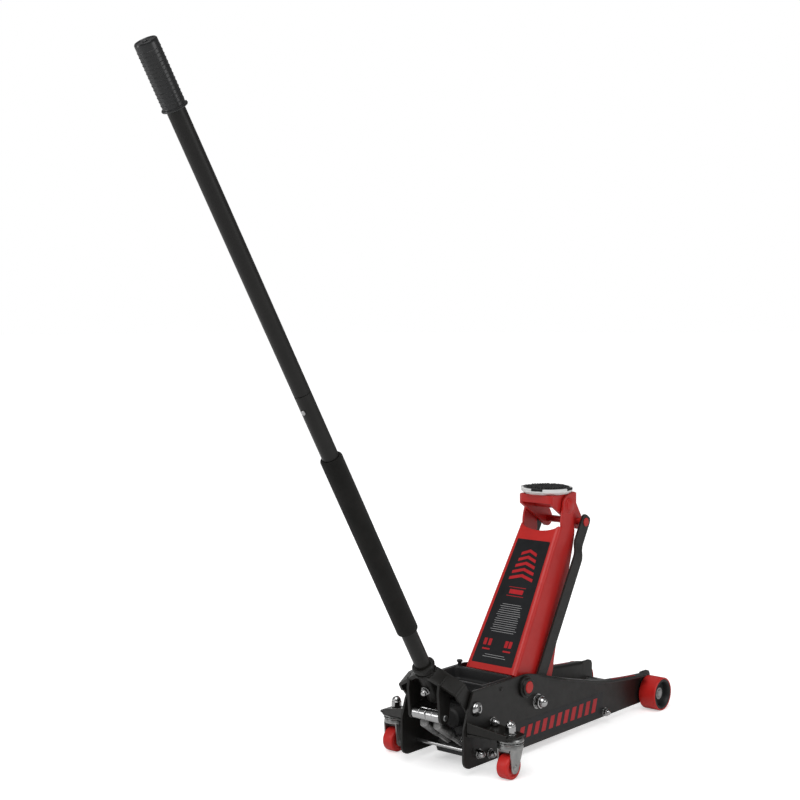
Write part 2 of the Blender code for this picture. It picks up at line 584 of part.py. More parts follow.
def pump(word, side):
    """Cap under the roller with its plunger, and the return spring inside its skirt."""
    top, skirt = -CAP_REACH, -CAP_REACH + CAP_LENGTH
    bore = CAP_R - CAP_WALL
    profile = [(0, top), (CAP_R - 0.002, top), (CAP_R, top + 0.002), (CAP_R, skirt), (bore, skirt), (bore, top + 0.005),
               (PLUNGER_R, top + 0.005), (PLUNGER_R, 0.001), (0, 0.001)]
    part(f"pump_piston_{word}", turned(profile, ROUND, on_pump(0, side), PUMP_DIR), "steel", JACK, on_pump(0, side))
    coil = helix(SPRING_R, SPRING_WIRE, SPRING_LENGTH, SPRING_TURNS, on_pump(-GAP, side), -PUMP_DIR)
    part(f"pump_spring_{word}", coil, "steel", JACK)


def release_spindle():
    profile = [(0, -0.030), (0.0035, -0.030), (0.0055, -0.028), (0.0055, -0.020), (0.004, -0.019), (0.004, 0.014), (0, 0.014)]
    part("release_spindle", turned(profile, ROUND, on_pump(0), PUMP_DIR), "steel", JACK, on_pump(0))


def ram():
    """Rod out of the cylinder, and the slotted head that pushes the arm's lever pin."""
    reach = LEVER_ANGLE + ARM_ANGLE
    pin_x = SHAFT_X + LEVER_LENGTH * cos(reach)
    pin_low = SHAFT_Z - LEVER_LENGTH
    slot_half = LEVER_PIN_R + 0.002
    slot_low = pin_low - LEVER_PIN_R - 0.0015
    slot_high = SHAFT_Z + LEVER_LENGTH * sin(reach) + LEVER_PIN_R + 0.006
    rear = pin_x - slot_half - 0.006
    outer = rounded([(rear, slot_low - 0.007, 0.006), (pin_x + slot_half + 0.006, slot_low - 0.007, 0.010),
                     (pin_x + slot_half + 0.006, slot_high + 0.007, 0.010), (rear, slot_high + 0.007, 0.006)])
    head = part("ram_head", prism(outer, "Y", -0.020, 0.020), "cast_iron", JACK)
    slot = rounded([(pin_x - slot_half, slot_low, 0.008), (pin_x + slot_half, slot_low, 0.008),
                    (pin_x + slot_half, slot_high, 0.008), (pin_x - slot_half, slot_high, 0.008)])
    cut(head, prism(slot, "Y", -0.03, 0.03))
    back = RAM_FRONT - 0.020
    part("ram_rod", rod(ROD_R, back, rear - GAP, at=(0, 0, RAM_Z), along=(1, 0, 0)), "chrome", JACK)


# ---------------------------------------------------------------- lift arm
def arm_half(a):
    """Half width of the arm at height a: a straight taper from shaft to saddle pivot."""
    return ARM_HALF_LOW + (ARM_HALF_TOP - ARM_HALF_LOW) * a / ARM_LENGTH


def arm_side(side):
    """Side plate from the lever, round the shaft, up to the ear; it leans in with the arm's taper."""
    low_a, low_n = ARM_FACE_LOW
    top_a, top_n = ARM_FACE_TOP
    outline = [(low_a, low_n), (top_a, top_n), (top_a + 0.022, top_n + 0.003)]
    outline += arc((ARM_LENGTH, 0), EAR_R, 125, -120, 14)
    outline += [(top_a + 0.012, -0.046), (top_a, -0.0495), (0.240, -0.070), (0.114, -0.094), (0.061, -0.107),
                (0.020, -0.098), (0.000, -0.082)]
    heel = degrees(LEVER_ANGLE)
    outline += arc(LEVER, LEVER_R, heel + 70, heel - 85, 8)
    outline += arc((0, 0), HUB_R, heel - 85, heel - 122, 5)
    solid = prism(outline, "Y", 0, 1)
    for vert in solid.verts:
        outside = arm_half(vert.co.x)
        vert.co.y = side * (outside if vert.co.y > 0.5 else outside - ARM_T)
    return outward(solid)


def arm_face():
    """Front plate between the sides, hollowed at its top edge to clear the saddle head."""
    (low_a, low_n), (top_a, top_n) = ARM_FACE_LOW, ARM_FACE_TOP
    inset = 0.0003
    low, top = arm_half(low_a) - inset, arm_half(top_a) - inset
    dip = [(top_a - FACE_DIP * cos(radians(t)) ** 0.5, top * DIP_SHARE * t / 90) for t in range(80, -81, -20)]
    outline = [(low_a, low), (top_a, top), (top_a, top * DIP_SHARE)] + dip
    outline += [(top_a, -top * DIP_SHARE), (top_a, -top), (low_a, -low)]
    solid = prism(outline, "Z", 0, 1)
    for vert in solid.verts:
        share = (vert.co.x - low_a) / (top_a - low_a)
        front = low_n + (top_n - low_n) * share - inset
        vert.co.z = front if vert.co.z > 0.5 else front - ARM_FACE_T
    return outward(solid)


def lift_arm():
    arm = part("lift_arm", arm_side(1), "red_paint", ARM)
    add(arm, arm_face(), arm_side(-1))
    wide = ARM_HALF_LOW + 0.01
    cut(arm, across(SHAFT_R + GAP, 0, 0, -wide, wide), across(HEAD_PIN_R + GAP, ARM_LENGTH, 0, -wide, wide),
        across(LEVER_PIN_R + GAP, *LEVER, -wide, wide))
    end = PLATE_OUT + SHAFT_PROUD
    shaft = [(0, -end), (SHAFT_R - 0.0015, -end), (SHAFT_R, -end + 0.0015), (SHAFT_R, end - 0.0015),
             (SHAFT_R - 0.0015, end), (0, end)]
    part("lift_shaft", turned(shaft, ROUND, (0, 0, 0), (0, 1, 0)), "red_paint", ARM)
    out = arm_half(ARM_LENGTH - 0.012) + GAP
    pin = [(0, -out - 0.003), (0.011, -out - 0.003), (0.012, -out - 0.002), (0.012, -out), (HEAD_PIN_R, -out),
           (HEAD_PIN_R, out), (0.012, out), (0.012, out + 0.002), (0.011, out + 0.003), (0, out + 0.003)]
    part("head_pin", turned(pin, ROUND, (ARM_LENGTH, 0, 0), (0, 1, 0)), "red_paint", ARM)
    reach = ARM_HALF_LOW + 0.001
    part("lever_pin", across(LEVER_PIN_R, *LEVER, -reach, reach), "steel", ARM)


# ---------------------------------------------------------------- saddle head and link
def saddle_head():
    outer = ARM_HALF_TOP - ARM_T - HEAD_LUG_CLEAR
    slab = rounded([(HEAD_FRONT, -outer + 0.0015, 0.008), (HEAD_BACK, -outer + 0.0015, 0.008),
                    (HEAD_BACK, outer - 0.0015, 0.008), (HEAD_FRONT, outer - 0.0015, 0.008)])
    head = part("saddle_head", prism(slab, "Z", HEAD_PLATE_LOW, HEAD_PLATE_TOP), "red_paint", HEAD)
    lug = [(HEAD_FRONT + 0.004, HEAD_PLATE_TOP - 0.001), (HEAD_FRONT + 0.004, HEAD_PLATE_LOW - 0.004)]
    lug += arc((LINK_DX, LINK_DZ), 0.017, 215, 395, 10)
    lug += [(HEAD_BACK - 0.002, HEAD_PLATE_LOW - 0.006), (HEAD_BACK - 0.002, HEAD_PLATE_TOP - 0.001)]
    for side in SIDES.values():
        low, high = sorted((side * outer, side * (outer - HEAD_LUG_T)))
        add(head, prism(lug, "Y", low, high))
    wide = ARM_HALF_TOP
    cut(head, across(HEAD_PIN_R + GAP, 0, 0, -wide, wide), across(LINK_PIN_R + GAP, LINK_DX, LINK_DZ, -wide, wide),
        rod(STUD_R + GAP, HEAD_PLATE_LOW - 0.01, HEAD_PLATE_TOP + 0.01, at=(SADDLE_X, 0, 0)))
    out = LINK_TOP_Y + LINK_T + GAP
    pin = [(0, -out - 0.002), (0.0085, -out - 0.002), (0.0095, -out - 0.001), (0.0095, -out), (LINK_PIN_R, -out),
           (LINK_PIN_R, out), (0.0095, out), (0.0095, out + 0.001), (0.0085, out + 0.002), (0, out + 0.002)]
    part("link_pin", turned(pin, ROUND, (LINK_DX, 0, LINK_DZ), (0, 1, 0)), "red_paint", HEAD)


def saddle():
    at = (SADDLE_X, 0, 0)
    base = HEAD_PLATE_TOP + GAP
    floor, rim = base + SADDLE_FLOOR, base + SADDLE_H
    inside = SADDLE_R - SADDLE_WALL
    cup = [(0, base - STUD_LENGTH), (STUD_R, base - STUD_LENGTH), (STUD_R, base), (SADDLE_R - 0.003, base),
           (SADDLE_R, base + 0.003), (SADDLE_R, rim - 0.001), (SADDLE_R - 0.001, rim), (inside, rim), (inside, floor), (0, floor)]
    part("saddle_cup", turned(cup, ROUND_BIG, at), "white_ring", HEAD, at)
    top = rim + PAD_PROUD
    pad = [(0, floor + GAP), (inside - GAP, floor + GAP), (inside - GAP, top - 0.002), (inside - GAP - 0.002, top), (0, top)]
    part("saddle_pad", turned(pad, ROUND_BIG, at), "rubber", HEAD, at)


def link_bar(word, side):
    """Flat bar with round ends, joggled inwards below the saddle head."""
    long = ARM_LENGTH + 2 * LINK_HALF_WIDTH
    strip = [(-long, LINK_LOW_Y), (LINK_JOGGLE_FROM, LINK_LOW_Y), (LINK_JOGGLE_TO, LINK_TOP_Y), (long, LINK_TOP_Y),
             (long, LINK_TOP_Y + LINK_T), (LINK_JOGGLE_TO, LINK_TOP_Y + LINK_T), (LINK_JOGGLE_FROM, LINK_LOW_Y + LINK_T),
             (-long, LINK_LOW_Y + LINK_T)]
    bar = part(f"link_bar_{word}", prism([(a, side * y) for a, y in strip], "Z", -0.03, 0.03), "black_paint", LINK)
    combine(bar, prism(hull_of_circles((0, 0), LINK_HALF_WIDTH + 0.002, (ARM_LENGTH, 0), LINK_HALF_WIDTH), "Y", -0.09, 0.09),
            "INTERSECT")
    low, high = sorted((side * 0.05, side * 0.08))
    cut(bar, across(LINK_BOLT_R + GAP, 0, 0, low, high), across(LINK_PIN_R + GAP, ARM_LENGTH, 0, low, high))


# ---------------------------------------------------------------- handle
def on_handle(x=0.0, y=0.0, z=0.0):
    return (x - HANDLE_OFFSET, y, z)


def handle_yoke():
    bore = SOCKET_R - SOCKET_WALL
    socket = [(0, SOCKET_BOTTOM), (SOCKET_R - 0.003, SOCKET_BOTTOM), (SOCKET_R, SOCKET_BOTTOM + 0.004),
              (SOCKET_R, SOCKET_TOP - LIP_H), (LIP_R, SOCKET_TOP - LIP_H * 0.7), (LIP_R, SOCKET_TOP - 0.001),
              (LIP_R - 0.0015, SOCKET_TOP), (0, SOCKET_TOP)]
    yoke = part("handle_yoke", turned(socket, ROUND_BIG, on_handle()), "black_paint", HANDLE)
    outer = PLATE_IN - YOKE_CLEAR
    inner = outer - YOKE_T
    crown = 0.094
    band = rounded([(-outer, 0.042, 0), (-outer, 0.060, 0.010), (-0.019, crown, 0.010), (0.019, crown, 0.010),
                    (outer, 0.060, 0.010), (outer, 0.042, 0), (inner, 0.042, 0), (inner, 0.056, 0.005),
                    (0.017, crown - 0.0075, 0), (-0.017, crown - 0.0075, 0), (-inner, 0.056, 0.005), (-inner, 0.042, 0)])
    rear = -HANDLE_OFFSET - YOKE_WIDTH / 2
    add(yoke, prism(band, "X", rear, rear + YOKE_WIDTH))
    leg = [(rear + 0.0015, 0.052)] + arc((0, 0), 0.019, 175, 365, 12) + [(rear + YOKE_WIDTH - 0.0015, 0.052)]
    lug = arc((-ROLLER_BACK, ROLLER_UP), 0.0135, 150, 320, 10)
    lug += [(-0.020, 0.030), (-0.004, 0.060), (-0.002, 0.083), (-0.026, 0.083), (-0.040, 0.066)]
    for side in SIDES.values():
        low, high = sorted((side * (inner + 0.0002), side * (outer - 0.0002)))
        add(yoke, prism(leg, "Y", low, high))
        low, high = sorted((side * LUG_Y, side * (LUG_Y + LUG_T)))
        add(yoke, prism(lug, "Y", low, high))
    cut(yoke, rod(bore, TUBE_FOOT - GAP, SOCKET_TOP + 0.01, steps=ROUND_BIG, at=on_handle()),
        across(PIVOT_BOLT_R + GAP, 0, 0, -outer - 0.01, outer + 0.01),
        across(ROLLER_PIN_R + GAP, -ROLLER_BACK, ROLLER_UP, -0.05, 0.05),
        rod(0.005 + GAP, 0.008, 0.026, at=on_handle(z=0.0608), along=(-1, 0, 0)))


def socket_bolt():
    """Bolt that holds the handle in its socket, screwed in from behind."""
    start = TUBE_R + 0.0006
    head = SOCKET_R + 0.009
    profile = [(0, start), (0.005, start), (0.005, head - 0.006), (0.008, head - 0.006), (0.008, head), (0.0065, head + 0.005),
               (0.003, head + 0.0062), (0, head + 0.0062)]
    part("socket_bolt", turned(profile, 16, on_handle(z=0.0608), (-1, 0, 0)), "chrome", HANDLE)


def rollers():
    at, along = (-ROLLER_BACK, 0, ROLLER_UP), (0, 1, 0)
    out = LUG_Y + LUG_T + GAP
    pin = [(0, -out - 0.003), (0.0065, -out - 0.003), (0.0065, -out), (ROLLER_PIN_R, -out), (ROLLER_PIN_R, out),
           (0.0065, out), (0.0065, out + 0.0015), (0, out + 0.0015)]
    part("roller_pin", turned(pin, 16, at, along), "zinc", HANDLE)
    for word, side in SIDES.items():
        low, high = sorted((side * GAP, side * (LUG_Y - GAP)))
        edge = 0.001
        ring = [(ROLLER_PIN_R + GAP, low), (ROLLER_R - edge, low), (ROLLER_R, low + edge), (ROLLER_R, high - edge),
                (ROLLER_R - edge, high), (ROLLER_PIN_R + GAP, high)]
        part(f"pump_roller_{word}", turned(ring, ROUND, at, along, ring=True), "chrome", HANDLE, at)


def handle_tubes():
    bore = TUBE_R - TUBE_WALL
    axis = on_handle()
    lower = part("handle_lower_tube", tube(bore, TUBE_R, TUBE_FOOT, JOINT_UP, at=axis), "black_paint", HANDLE, axis)
    spigot = bore - GAP
    spigot_low = JOINT_UP - SPIGOT_LENGTH
    inside = spigot - TUBE_WALL
    upper_profile = [(inside, spigot_low), (spigot, spigot_low), (spigot, JOINT_UP + GAP), (TUBE_R, JOINT_UP + GAP),
                     (TUBE_R, GRIP_TO - 0.006), (inside, GRIP_TO - 0.006)]
    upper = part("handle_upper_tube", turned(upper_profile, ROUND, axis, ring=True), "black_paint", HANDLE, axis)
    hole = on_handle(z=JOINT_UP - BUTTON_DOWN)
    for item in (lower, upper):
        cut(item, rod(BUTTON_R + GAP, 0.004, TUBE_R + 0.01, steps=16, at=hole, along=(-1, 0, 0)))
    tip = TUBE_R + BUTTON_PROUD
    button = [(0, 0.006), (BUTTON_R, 0.006), (BUTTON_R, tip - 0.002), (BUTTON_R * 0.7, tip - 0.0006), (0, tip)]
    part("snap_button", turned(button, 16, hole, (-1, 0, 0)), "chrome", HANDLE, hole)


def handle_covers():
    axis = on_handle()
    fit = TUBE_R + GAP
    edge = 0.004
    foam = [(fit, FOAM_FROM), (FOAM_R - edge, FOAM_FROM)]
    foam += arc((FOAM_R - edge, FOAM_FROM + edge), edge, -90, 0, 4)[1:]
    foam += arc((FOAM_R - edge, FOAM_TO - edge), edge, 0, 90, 4)
    foam += [(fit, FOAM_TO)]
    part("foam_sleeve", turned(foam, ROUND, axis, ring=True), "foam", HANDLE)
    grip = [(fit, GRIP_FROM - GRIP_FLANGE_T), (GRIP_FLANGE_R, GRIP_FROM - GRIP_FLANGE_T), (GRIP_FLANGE_R, GRIP_FROM),
            (GRIP_R, GRIP_FROM), (GRIP_R, GRIP_TO - 0.003), (GRIP_R - 0.003, GRIP_TO), (0, GRIP_TO), (0, GRIP_TO - 0.0055),
            (fit, GRIP_TO - 0.0055)]
    part("handle_grip", turned(grip, ROUND, axis, ring=True), "rubber", HANDLE)


# ---------------------------------------------------------------- build
for word, side in SIDES.items():
    side_plate(f"side_plate_{word}", side)
    shaft_boss(f"shaft_boss_{word}", side)
    pivot_bolt(f"pivot_bolt_{word}", side)
    link_bolt(f"link_bolt_{word}", side)
    front_wheel(word, side)
    castor_bracket(word, side)
    castor(word, side)
    pump(word, side)
    link_bar(word, side)
tie_rod("rear_tie_rod", REAR_ROD, 0.0045, 0.007, 0.008)
tie_rod("front_tie_rod", FRONT_ROD, 0.008, 0.0085, 0.012)
front_axle()
tool_tray()
hydraulic_unit()
release_spindle()
ram()
lift_arm()
saddle_head()
saddle()
handle_yoke()
socket_bolt()
rollers()
handle_tubes()
handle_covers()


def centre_on_floor():
    """Move the root so that the box of all parts stands centred on the world origin."""
    bpy.context.view_layer.update()
    depsgraph = bpy.context.evaluated_depsgraph_get()
    parts = [item.evaluated_get(depsgraph) for item in bpy.data.objects
             if item.type == "MESH" and not item.hide_render]
    points = [item.matrix_world @ vert.co for item in parts for vert in item.data.vertices]
    middle = [(min(p[k] for p in points) + max(p[k] for p in points)) / 2 for k in (0, 1)]
    JACK.location = (-middle[0], -middle[1], -min(p[2] for p in points))
    bpy.context.view_layer.update()


centre_on_floor()
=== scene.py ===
# %% [markdown]
# # A trolley jack, piece by piece
#
# This lesson finishes a hydraulic trolley jack: a low black steel chassis on two front wheels and two castors,
# a red lift arm with a round saddle, and a long two-piece handle that works the pumps and opens the valve.
# The mechanism is already modelled and jointed. Here every piece gets its real surface: rolled edges, turned
# nuts, sprung steel, foam, rubber and enamel. Each step says what the piece is on a real jack, how it could be
# made in Blender, and why one way was picked.

# %% Load the frame
from math import atan2, cos, hypot, pi, radians, sin

import bmesh
import bpy
from mathutils import Matrix, Vector


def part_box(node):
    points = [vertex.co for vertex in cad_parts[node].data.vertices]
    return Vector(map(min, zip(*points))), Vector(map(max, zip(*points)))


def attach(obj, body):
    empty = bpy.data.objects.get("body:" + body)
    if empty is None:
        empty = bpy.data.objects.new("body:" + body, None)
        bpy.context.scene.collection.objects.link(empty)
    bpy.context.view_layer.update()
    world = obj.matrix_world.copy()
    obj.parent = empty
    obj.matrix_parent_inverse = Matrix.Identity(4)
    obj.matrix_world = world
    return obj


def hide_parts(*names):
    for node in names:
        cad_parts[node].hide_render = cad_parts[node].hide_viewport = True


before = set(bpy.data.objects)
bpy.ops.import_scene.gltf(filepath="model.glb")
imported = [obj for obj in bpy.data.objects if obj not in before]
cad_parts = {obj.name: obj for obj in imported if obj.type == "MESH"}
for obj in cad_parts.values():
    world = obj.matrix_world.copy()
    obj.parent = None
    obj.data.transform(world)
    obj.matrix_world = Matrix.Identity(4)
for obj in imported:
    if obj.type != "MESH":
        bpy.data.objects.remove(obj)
scene = bpy.context.scene
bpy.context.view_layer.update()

# %% [markdown]
# ## Where things are
#
# A jack is laid out from a few axes: the shaft that the arm turns on, the pin under the saddle, the pivot of
# the handle and the wheels' axles. Each could be read from the pieces' boxes one by one. Drawing them once as
# frames of reference is clearer: a point on the arm is then "so far up the arm, so far in front of it", whatever
# the arm's angle is.

# %% Axes and frames
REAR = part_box("side_plate_left")[0][0]          # rear edge of the side plates
ARM_TILT, ARM_LONG = radians(59.45), 0.4053     # lift arm's angle, and shaft to saddle pivot
HANDLE_TILT = radians(31.5)                     # handle, back from upright
PLATE_IN, PLATE_OUT = 0.076, 0.081              # faces of a side plate, from the middle
SIDES = {"left": 1, "right": -1}


def spot(x, y, z):
    """Point given from the rear edge of the chassis, the middle plane and the floor."""
    return Vector((REAR + x, y, z))


def frame_at(point, tilt=0.0):
    """Frame of reference at a point, its X and Z tilted up about the cross axis."""
    return Matrix.Translation(point) @ Matrix.Rotation(-tilt, 4, "Y")


SHAFT = spot(0.206, 0, 0.1435)
LINK_STEP = Vector((0.043, 0, -0.0395))         # from the arm's pivots to the link bars'
LOW_LINK = SHAFT + LINK_STEP
ARM = frame_at(SHAFT, ARM_TILT)
LINK = frame_at(LOW_LINK, ARM_TILT)
HEAD = frame_at(ARM @ Vector((ARM_LONG, 0, 0)))
HANDLE = frame_at(spot(0.040, 0, 0.1317), HANDLE_TILT)
TUBE = HANDLE @ Matrix.Translation((-0.011, 0, 0))
PUMP_DIR = Vector((cos(radians(34)), 0, -sin(radians(34))))
PUMP_MOUTH = spot(0.080, 0, 0.043)
print("saddle pivot", [round(v, 4) for v in HEAD.translation], "handle pivot",
      [round(v, 4) for v in HANDLE.translation])

# %% [markdown]
# ## Camera, floor and light
#
# A studio shows a tool on a pale floor with large soft lamps, so that dark paint still has a bright edge to be
# read by. The floor could be a curved sweep; a large flat disc is lighter and looks the same from every side.
# The sky and the floor are brighter to the camera than to the jack, so the background stays white while the
# dark paint keeps its depth.

# %% Camera
camera = bpy.data.objects.new("studio_camera", bpy.data.cameras.new("studio_camera"))
scene.collection.objects.link(camera)
HEADING, DOWN, LEAN = 39.98, 4.14, 0.11         # the camera's heading, tilt and roll in degrees
camera.location = (-2.3554, -1.9008, 0.9611)
look = Matrix.Rotation(radians(HEADING - 90), 3, "Z") @ Matrix.Rotation(radians(90 - DOWN), 3, "X")
camera.rotation_euler = (look @ Matrix.Rotation(radians(-LEAN), 3, "Z")).to_euler()
camera.data.lens, camera.data.sensor_width = 69.85, 36.0
scene.camera = camera

# %% Floor and lamps
SKY_LIGHT, SKY_SEEN, FLOOR_GLOW = 0.20, 1.0, 0.5        # sky on the jack, sky and floor to the camera
sweep = bmesh.new()
bmesh.ops.create_circle(sweep, cap_ends=True, radius=30.0, segments=96)
floor_mesh = bpy.data.meshes.new("studio_floor")
sweep.to_mesh(floor_mesh)
sweep.free()
floor = bpy.data.objects.new("studio_floor", floor_mesh)
scene.collection.objects.link(floor)

sky = bpy.data.worlds.new("studio_sky")
sky.use_nodes = True
wires, plain = sky.node_tree, sky.node_tree.nodes["Background"]
paper = wires.nodes.new("ShaderNodeBackground")
for background, strength in ((plain, SKY_LIGHT), (paper, SKY_SEEN)):
    background.inputs["Color"].default_value = (1, 1, 1, 1)
    background.inputs["Strength"].default_value = strength
seen, mix = wires.nodes.new("ShaderNodeLightPath"), wires.nodes.new("ShaderNodeMixShader")
wires.links.new(seen.outputs["Is Camera Ray"], mix.inputs["Fac"])
wires.links.new(plain.outputs[0], mix.inputs[1])
wires.links.new(paper.outputs[0], mix.inputs[2])
wires.links.new(mix.outputs[0], wires.nodes["World Output"].inputs["Surface"])
scene.world = sky
scene.view_settings.view_transform = "Standard"


def aimed(name, light, place, aim):
    """Puts a lamp at a place, facing a point."""
    item = bpy.data.objects.new(name, light)
    item.location = place
    item.rotation_euler = (Vector(aim) - Vector(place)).to_track_quat("-Z", "Y").to_euler()
    scene.collection.objects.link(item)


def lamp(name, place, aim, size, power):
    """Large soft rectangular lamp."""
    light = bpy.data.lights.new(name, "AREA")
    light.shape, light.size, light.size_y, light.energy = "RECTANGLE", size[0], size[1], power
    aimed(name, light, place, aim)


middle = (0.1, 0, 0.35)
ceiling = bpy.data.lights.new("ceiling_light", "SUN")
ceiling.energy, ceiling.angle = 1.75, radians(50)
aimed("ceiling_light", ceiling, (-1.4, -0.5, 3.0), middle)
lamp("side_lamp", (0.6, -2.8, 1.5), middle, (1.8, 1.2), 15)
lamp("rear_lamp", (-2.4, 1.6, 1.2), middle, (0.7, 1.6), 11)
lamp("far_lamp", (1.9, 2.6, 1.7), middle, (1.8, 1.2), 18)

# %% [markdown]
# ## Finishes
#
# The jack has few finishes, and each has a character that a flat colour misses. Powder coat is a satin film with
# a faint orange peel; enamel is glossier under a clear film; zinc plate is cloudy; foam is full of pores. Each
# could be painted as an image, but an image stretches and has a fixed size. Noise in the object's own metres
# keeps its scale on every piece, so one recipe with different numbers makes them all.

# %% The recipe for a coating
def wire(tree, source, target):
    tree.links.new(source, target)


def node(tree, kind, **values):
    """Node of a kind with some of its inputs set. A value that is a socket is linked."""
    made = tree.nodes.new(kind)
    for key, value in values.items():
        if not isinstance(value, (int, float, tuple, bpy.types.NodeSocket)) or key in ("operation", "data_type"):
            setattr(made, key, value)
            continue
        plug = made.inputs[key.replace("_", " ")]
        if isinstance(value, bpy.types.NodeSocket):
            wire(tree, value, plug)
        else:
            plug.default_value = value
    return made


def coating(name, dark, light, rough, metal=0.0, cloud=18.0, grain=1400.0, depth=0.00004, coat=0.0, pores=0.0,
            sheen=0.0, shine=0.5, stretch=(1, 1, 1)):
    """Material whose colour and roughness drift slowly, with a fine grain in its surface."""
    material = bpy.data.materials.new(name)
    material.use_nodes = True
    tree = material.node_tree
    shader = tree.nodes["Principled BSDF"]
    place = node(tree, "ShaderNodeTexCoord").outputs["Object"]
    place = node(tree, "ShaderNodeMapping", Vector=place, Scale=stretch).outputs["Vector"]
    drift = node(tree, "ShaderNodeTexNoise", Vector=place, Scale=cloud, Detail=5.0, Roughness=0.6)
    tint = node(tree, "ShaderNodeValToRGB", Fac=drift.outputs["Fac"])
    tint.color_ramp.elements[0].position, tint.color_ramp.elements[1].position = 0.3, 0.7
    tint.color_ramp.elements[0].color, tint.color_ramp.elements[1].color = (*dark, 1), (*light, 1)
    wire(tree, tint.outputs["Color"], shader.inputs["Base Color"])
    smear = node(tree, "ShaderNodeTexNoise", Vector=place, Scale=cloud * 4.3, Detail=6.0, Roughness=0.65)
    gloss = node(tree, "ShaderNodeMapRange", Value=smear.outputs["Fac"])
    for key, value in zip(("From Min", "From Max", "To Min", "To Max"), (0.3, 0.7, *rough)):
        gloss.inputs[key].default_value = value
    wire(tree, gloss.outputs["Result"], shader.inputs["Roughness"])
    if pores:
        skin = node(tree, "ShaderNodeTexVoronoi", Vector=place, Scale=pores).outputs["Distance"]
    else:
        skin = node(tree, "ShaderNodeTexNoise", Vector=place, Scale=grain, Detail=2.0).outputs["Fac"]
    relief = node(tree, "ShaderNodeBump", Height=skin, Strength=0.6, Distance=depth)
    wire(tree, relief.outputs["Normal"], shader.inputs["Normal"])
    shader.inputs["Metallic"].default_value = metal
    shader.inputs["Specular IOR Level"].default_value = shine
    shader.inputs["Coat Weight"].default_value = coat
    shader.inputs["Coat Roughness"].default_value = 0.12
    shader.inputs["Sheen Weight"].default_value = sheen
    return material


# %% The finishes of this jack
black_coat = coating("black_powder_coat", (0.0085, 0.008, 0.0072), (0.013, 0.0122, 0.011), (0.32, 0.46),
                     shine=0.32)
red_coat = coating("red_enamel", (0.47, 0.014, 0.012), (0.54, 0.019, 0.016), (0.34, 0.44), coat=0.08,
                   grain=900.0, shine=0.35)
white_coat = coating("white_enamel", (0.74, 0.74, 0.73), (0.83, 0.83, 0.82), (0.32, 0.42))
zinc = coating("zinc_plate", (0.28, 0.285, 0.285), (0.42, 0.42, 0.41), (0.26, 0.42), metal=1.0, cloud=60.0,
               grain=2600.0)
chrome = coating("bright_chrome", (0.42, 0.42, 0.42), (0.54, 0.54, 0.54), (0.10, 0.20), metal=1.0, cloud=40.0,
                 depth=0.00001)
machined = coating("machined_steel", (0.22, 0.22, 0.22), (0.34, 0.335, 0.33), (0.24, 0.38), metal=1.0, cloud=50.0,
                   grain=3000.0, stretch=(1, 1, 0.2))
cast_iron = coating("painted_casting", (0.020, 0.020, 0.020), (0.042, 0.042, 0.042), (0.5, 0.66), grain=420.0,
                    depth=0.0003)
black_moulding = coating("black_moulding", (0.011, 0.011, 0.0115), (0.018, 0.018, 0.0185), (0.44, 0.56),
                         pores=900.0, shine=0.35,
                         depth=0.00008)
red_tyre = coating("red_polyurethane", (0.50, 0.013, 0.011), (0.60, 0.020, 0.016), (0.34, 0.48), coat=0.05,
                   shine=0.35)
foam = coating("closed_cell_foam", (0.008, 0.008, 0.007), (0.015, 0.014, 0.013), (0.9, 1.0), pores=1100.0,
               depth=0.0004,
               sheen=0.08, shine=0.2)
rubber = coating("moulded_rubber", (0.010, 0.010, 0.011), (0.019, 0.019, 0.020), (0.58, 0.72), depth=0.00008,
                 shine=0.3)
grip_vinyl = coating("grip_vinyl", (0.010, 0.0105, 0.011), (0.016, 0.0165, 0.0175), (0.28, 0.36), coat=0.2,
                     shine=0.5)
label_black = coating("label_film", (0.006, 0.0065, 0.008), (0.010, 0.011, 0.0125), (0.34, 0.44), grain=500.0,
                      shine=0.3)
label_red = coating("label_red_ink", (0.40, 0.010, 0.016), (0.50, 0.016, 0.022), (0.34, 0.44), shine=0.3)
label_grey = coating("label_grey_ink", (0.30, 0.30, 0.31), (0.42, 0.42, 0.42), (0.3, 0.4))
floor_paper = coating("floor_paper", (0.88, 0.88, 0.88), (0.90, 0.90, 0.90), (0.8, 0.9), cloud=0.8, depth=0.0,
                      shine=0.1)
tree, shader = floor_paper.node_tree, floor_paper.node_tree.nodes["Principled BSDF"]
shader.inputs["Emission Color"].default_value = (1, 1, 1, 1)
seen = node(tree, "ShaderNodeLightPath").outputs["Is Camera Ray"]
glow = node(tree, "ShaderNodeMath", operation="MULTIPLY")
glow.inputs[1].default_value = FLOOR_GLOW
wire(tree, seen, glow.inputs[0])
wire(tree, glow.outputs[0], shader.inputs["Emission Strength"])
floor_mesh.materials.append(floor_paper)
print(len(bpy.data.materials), "materials")

# %% [markdown]
# ## How a piece is finished
#
# Real steel parts have no knife edges: a guillotined plate is deburred, a casting has a radius, a turned nut
# has chamfers. The edges could be cut round by hand in each mesh. A Bevel modifier that looks only at sharp
# angles does them all and keeps the flats flat, so every piece passes through one small function that shades it,
# rounds its edges, and fixes it to the body it moves with.

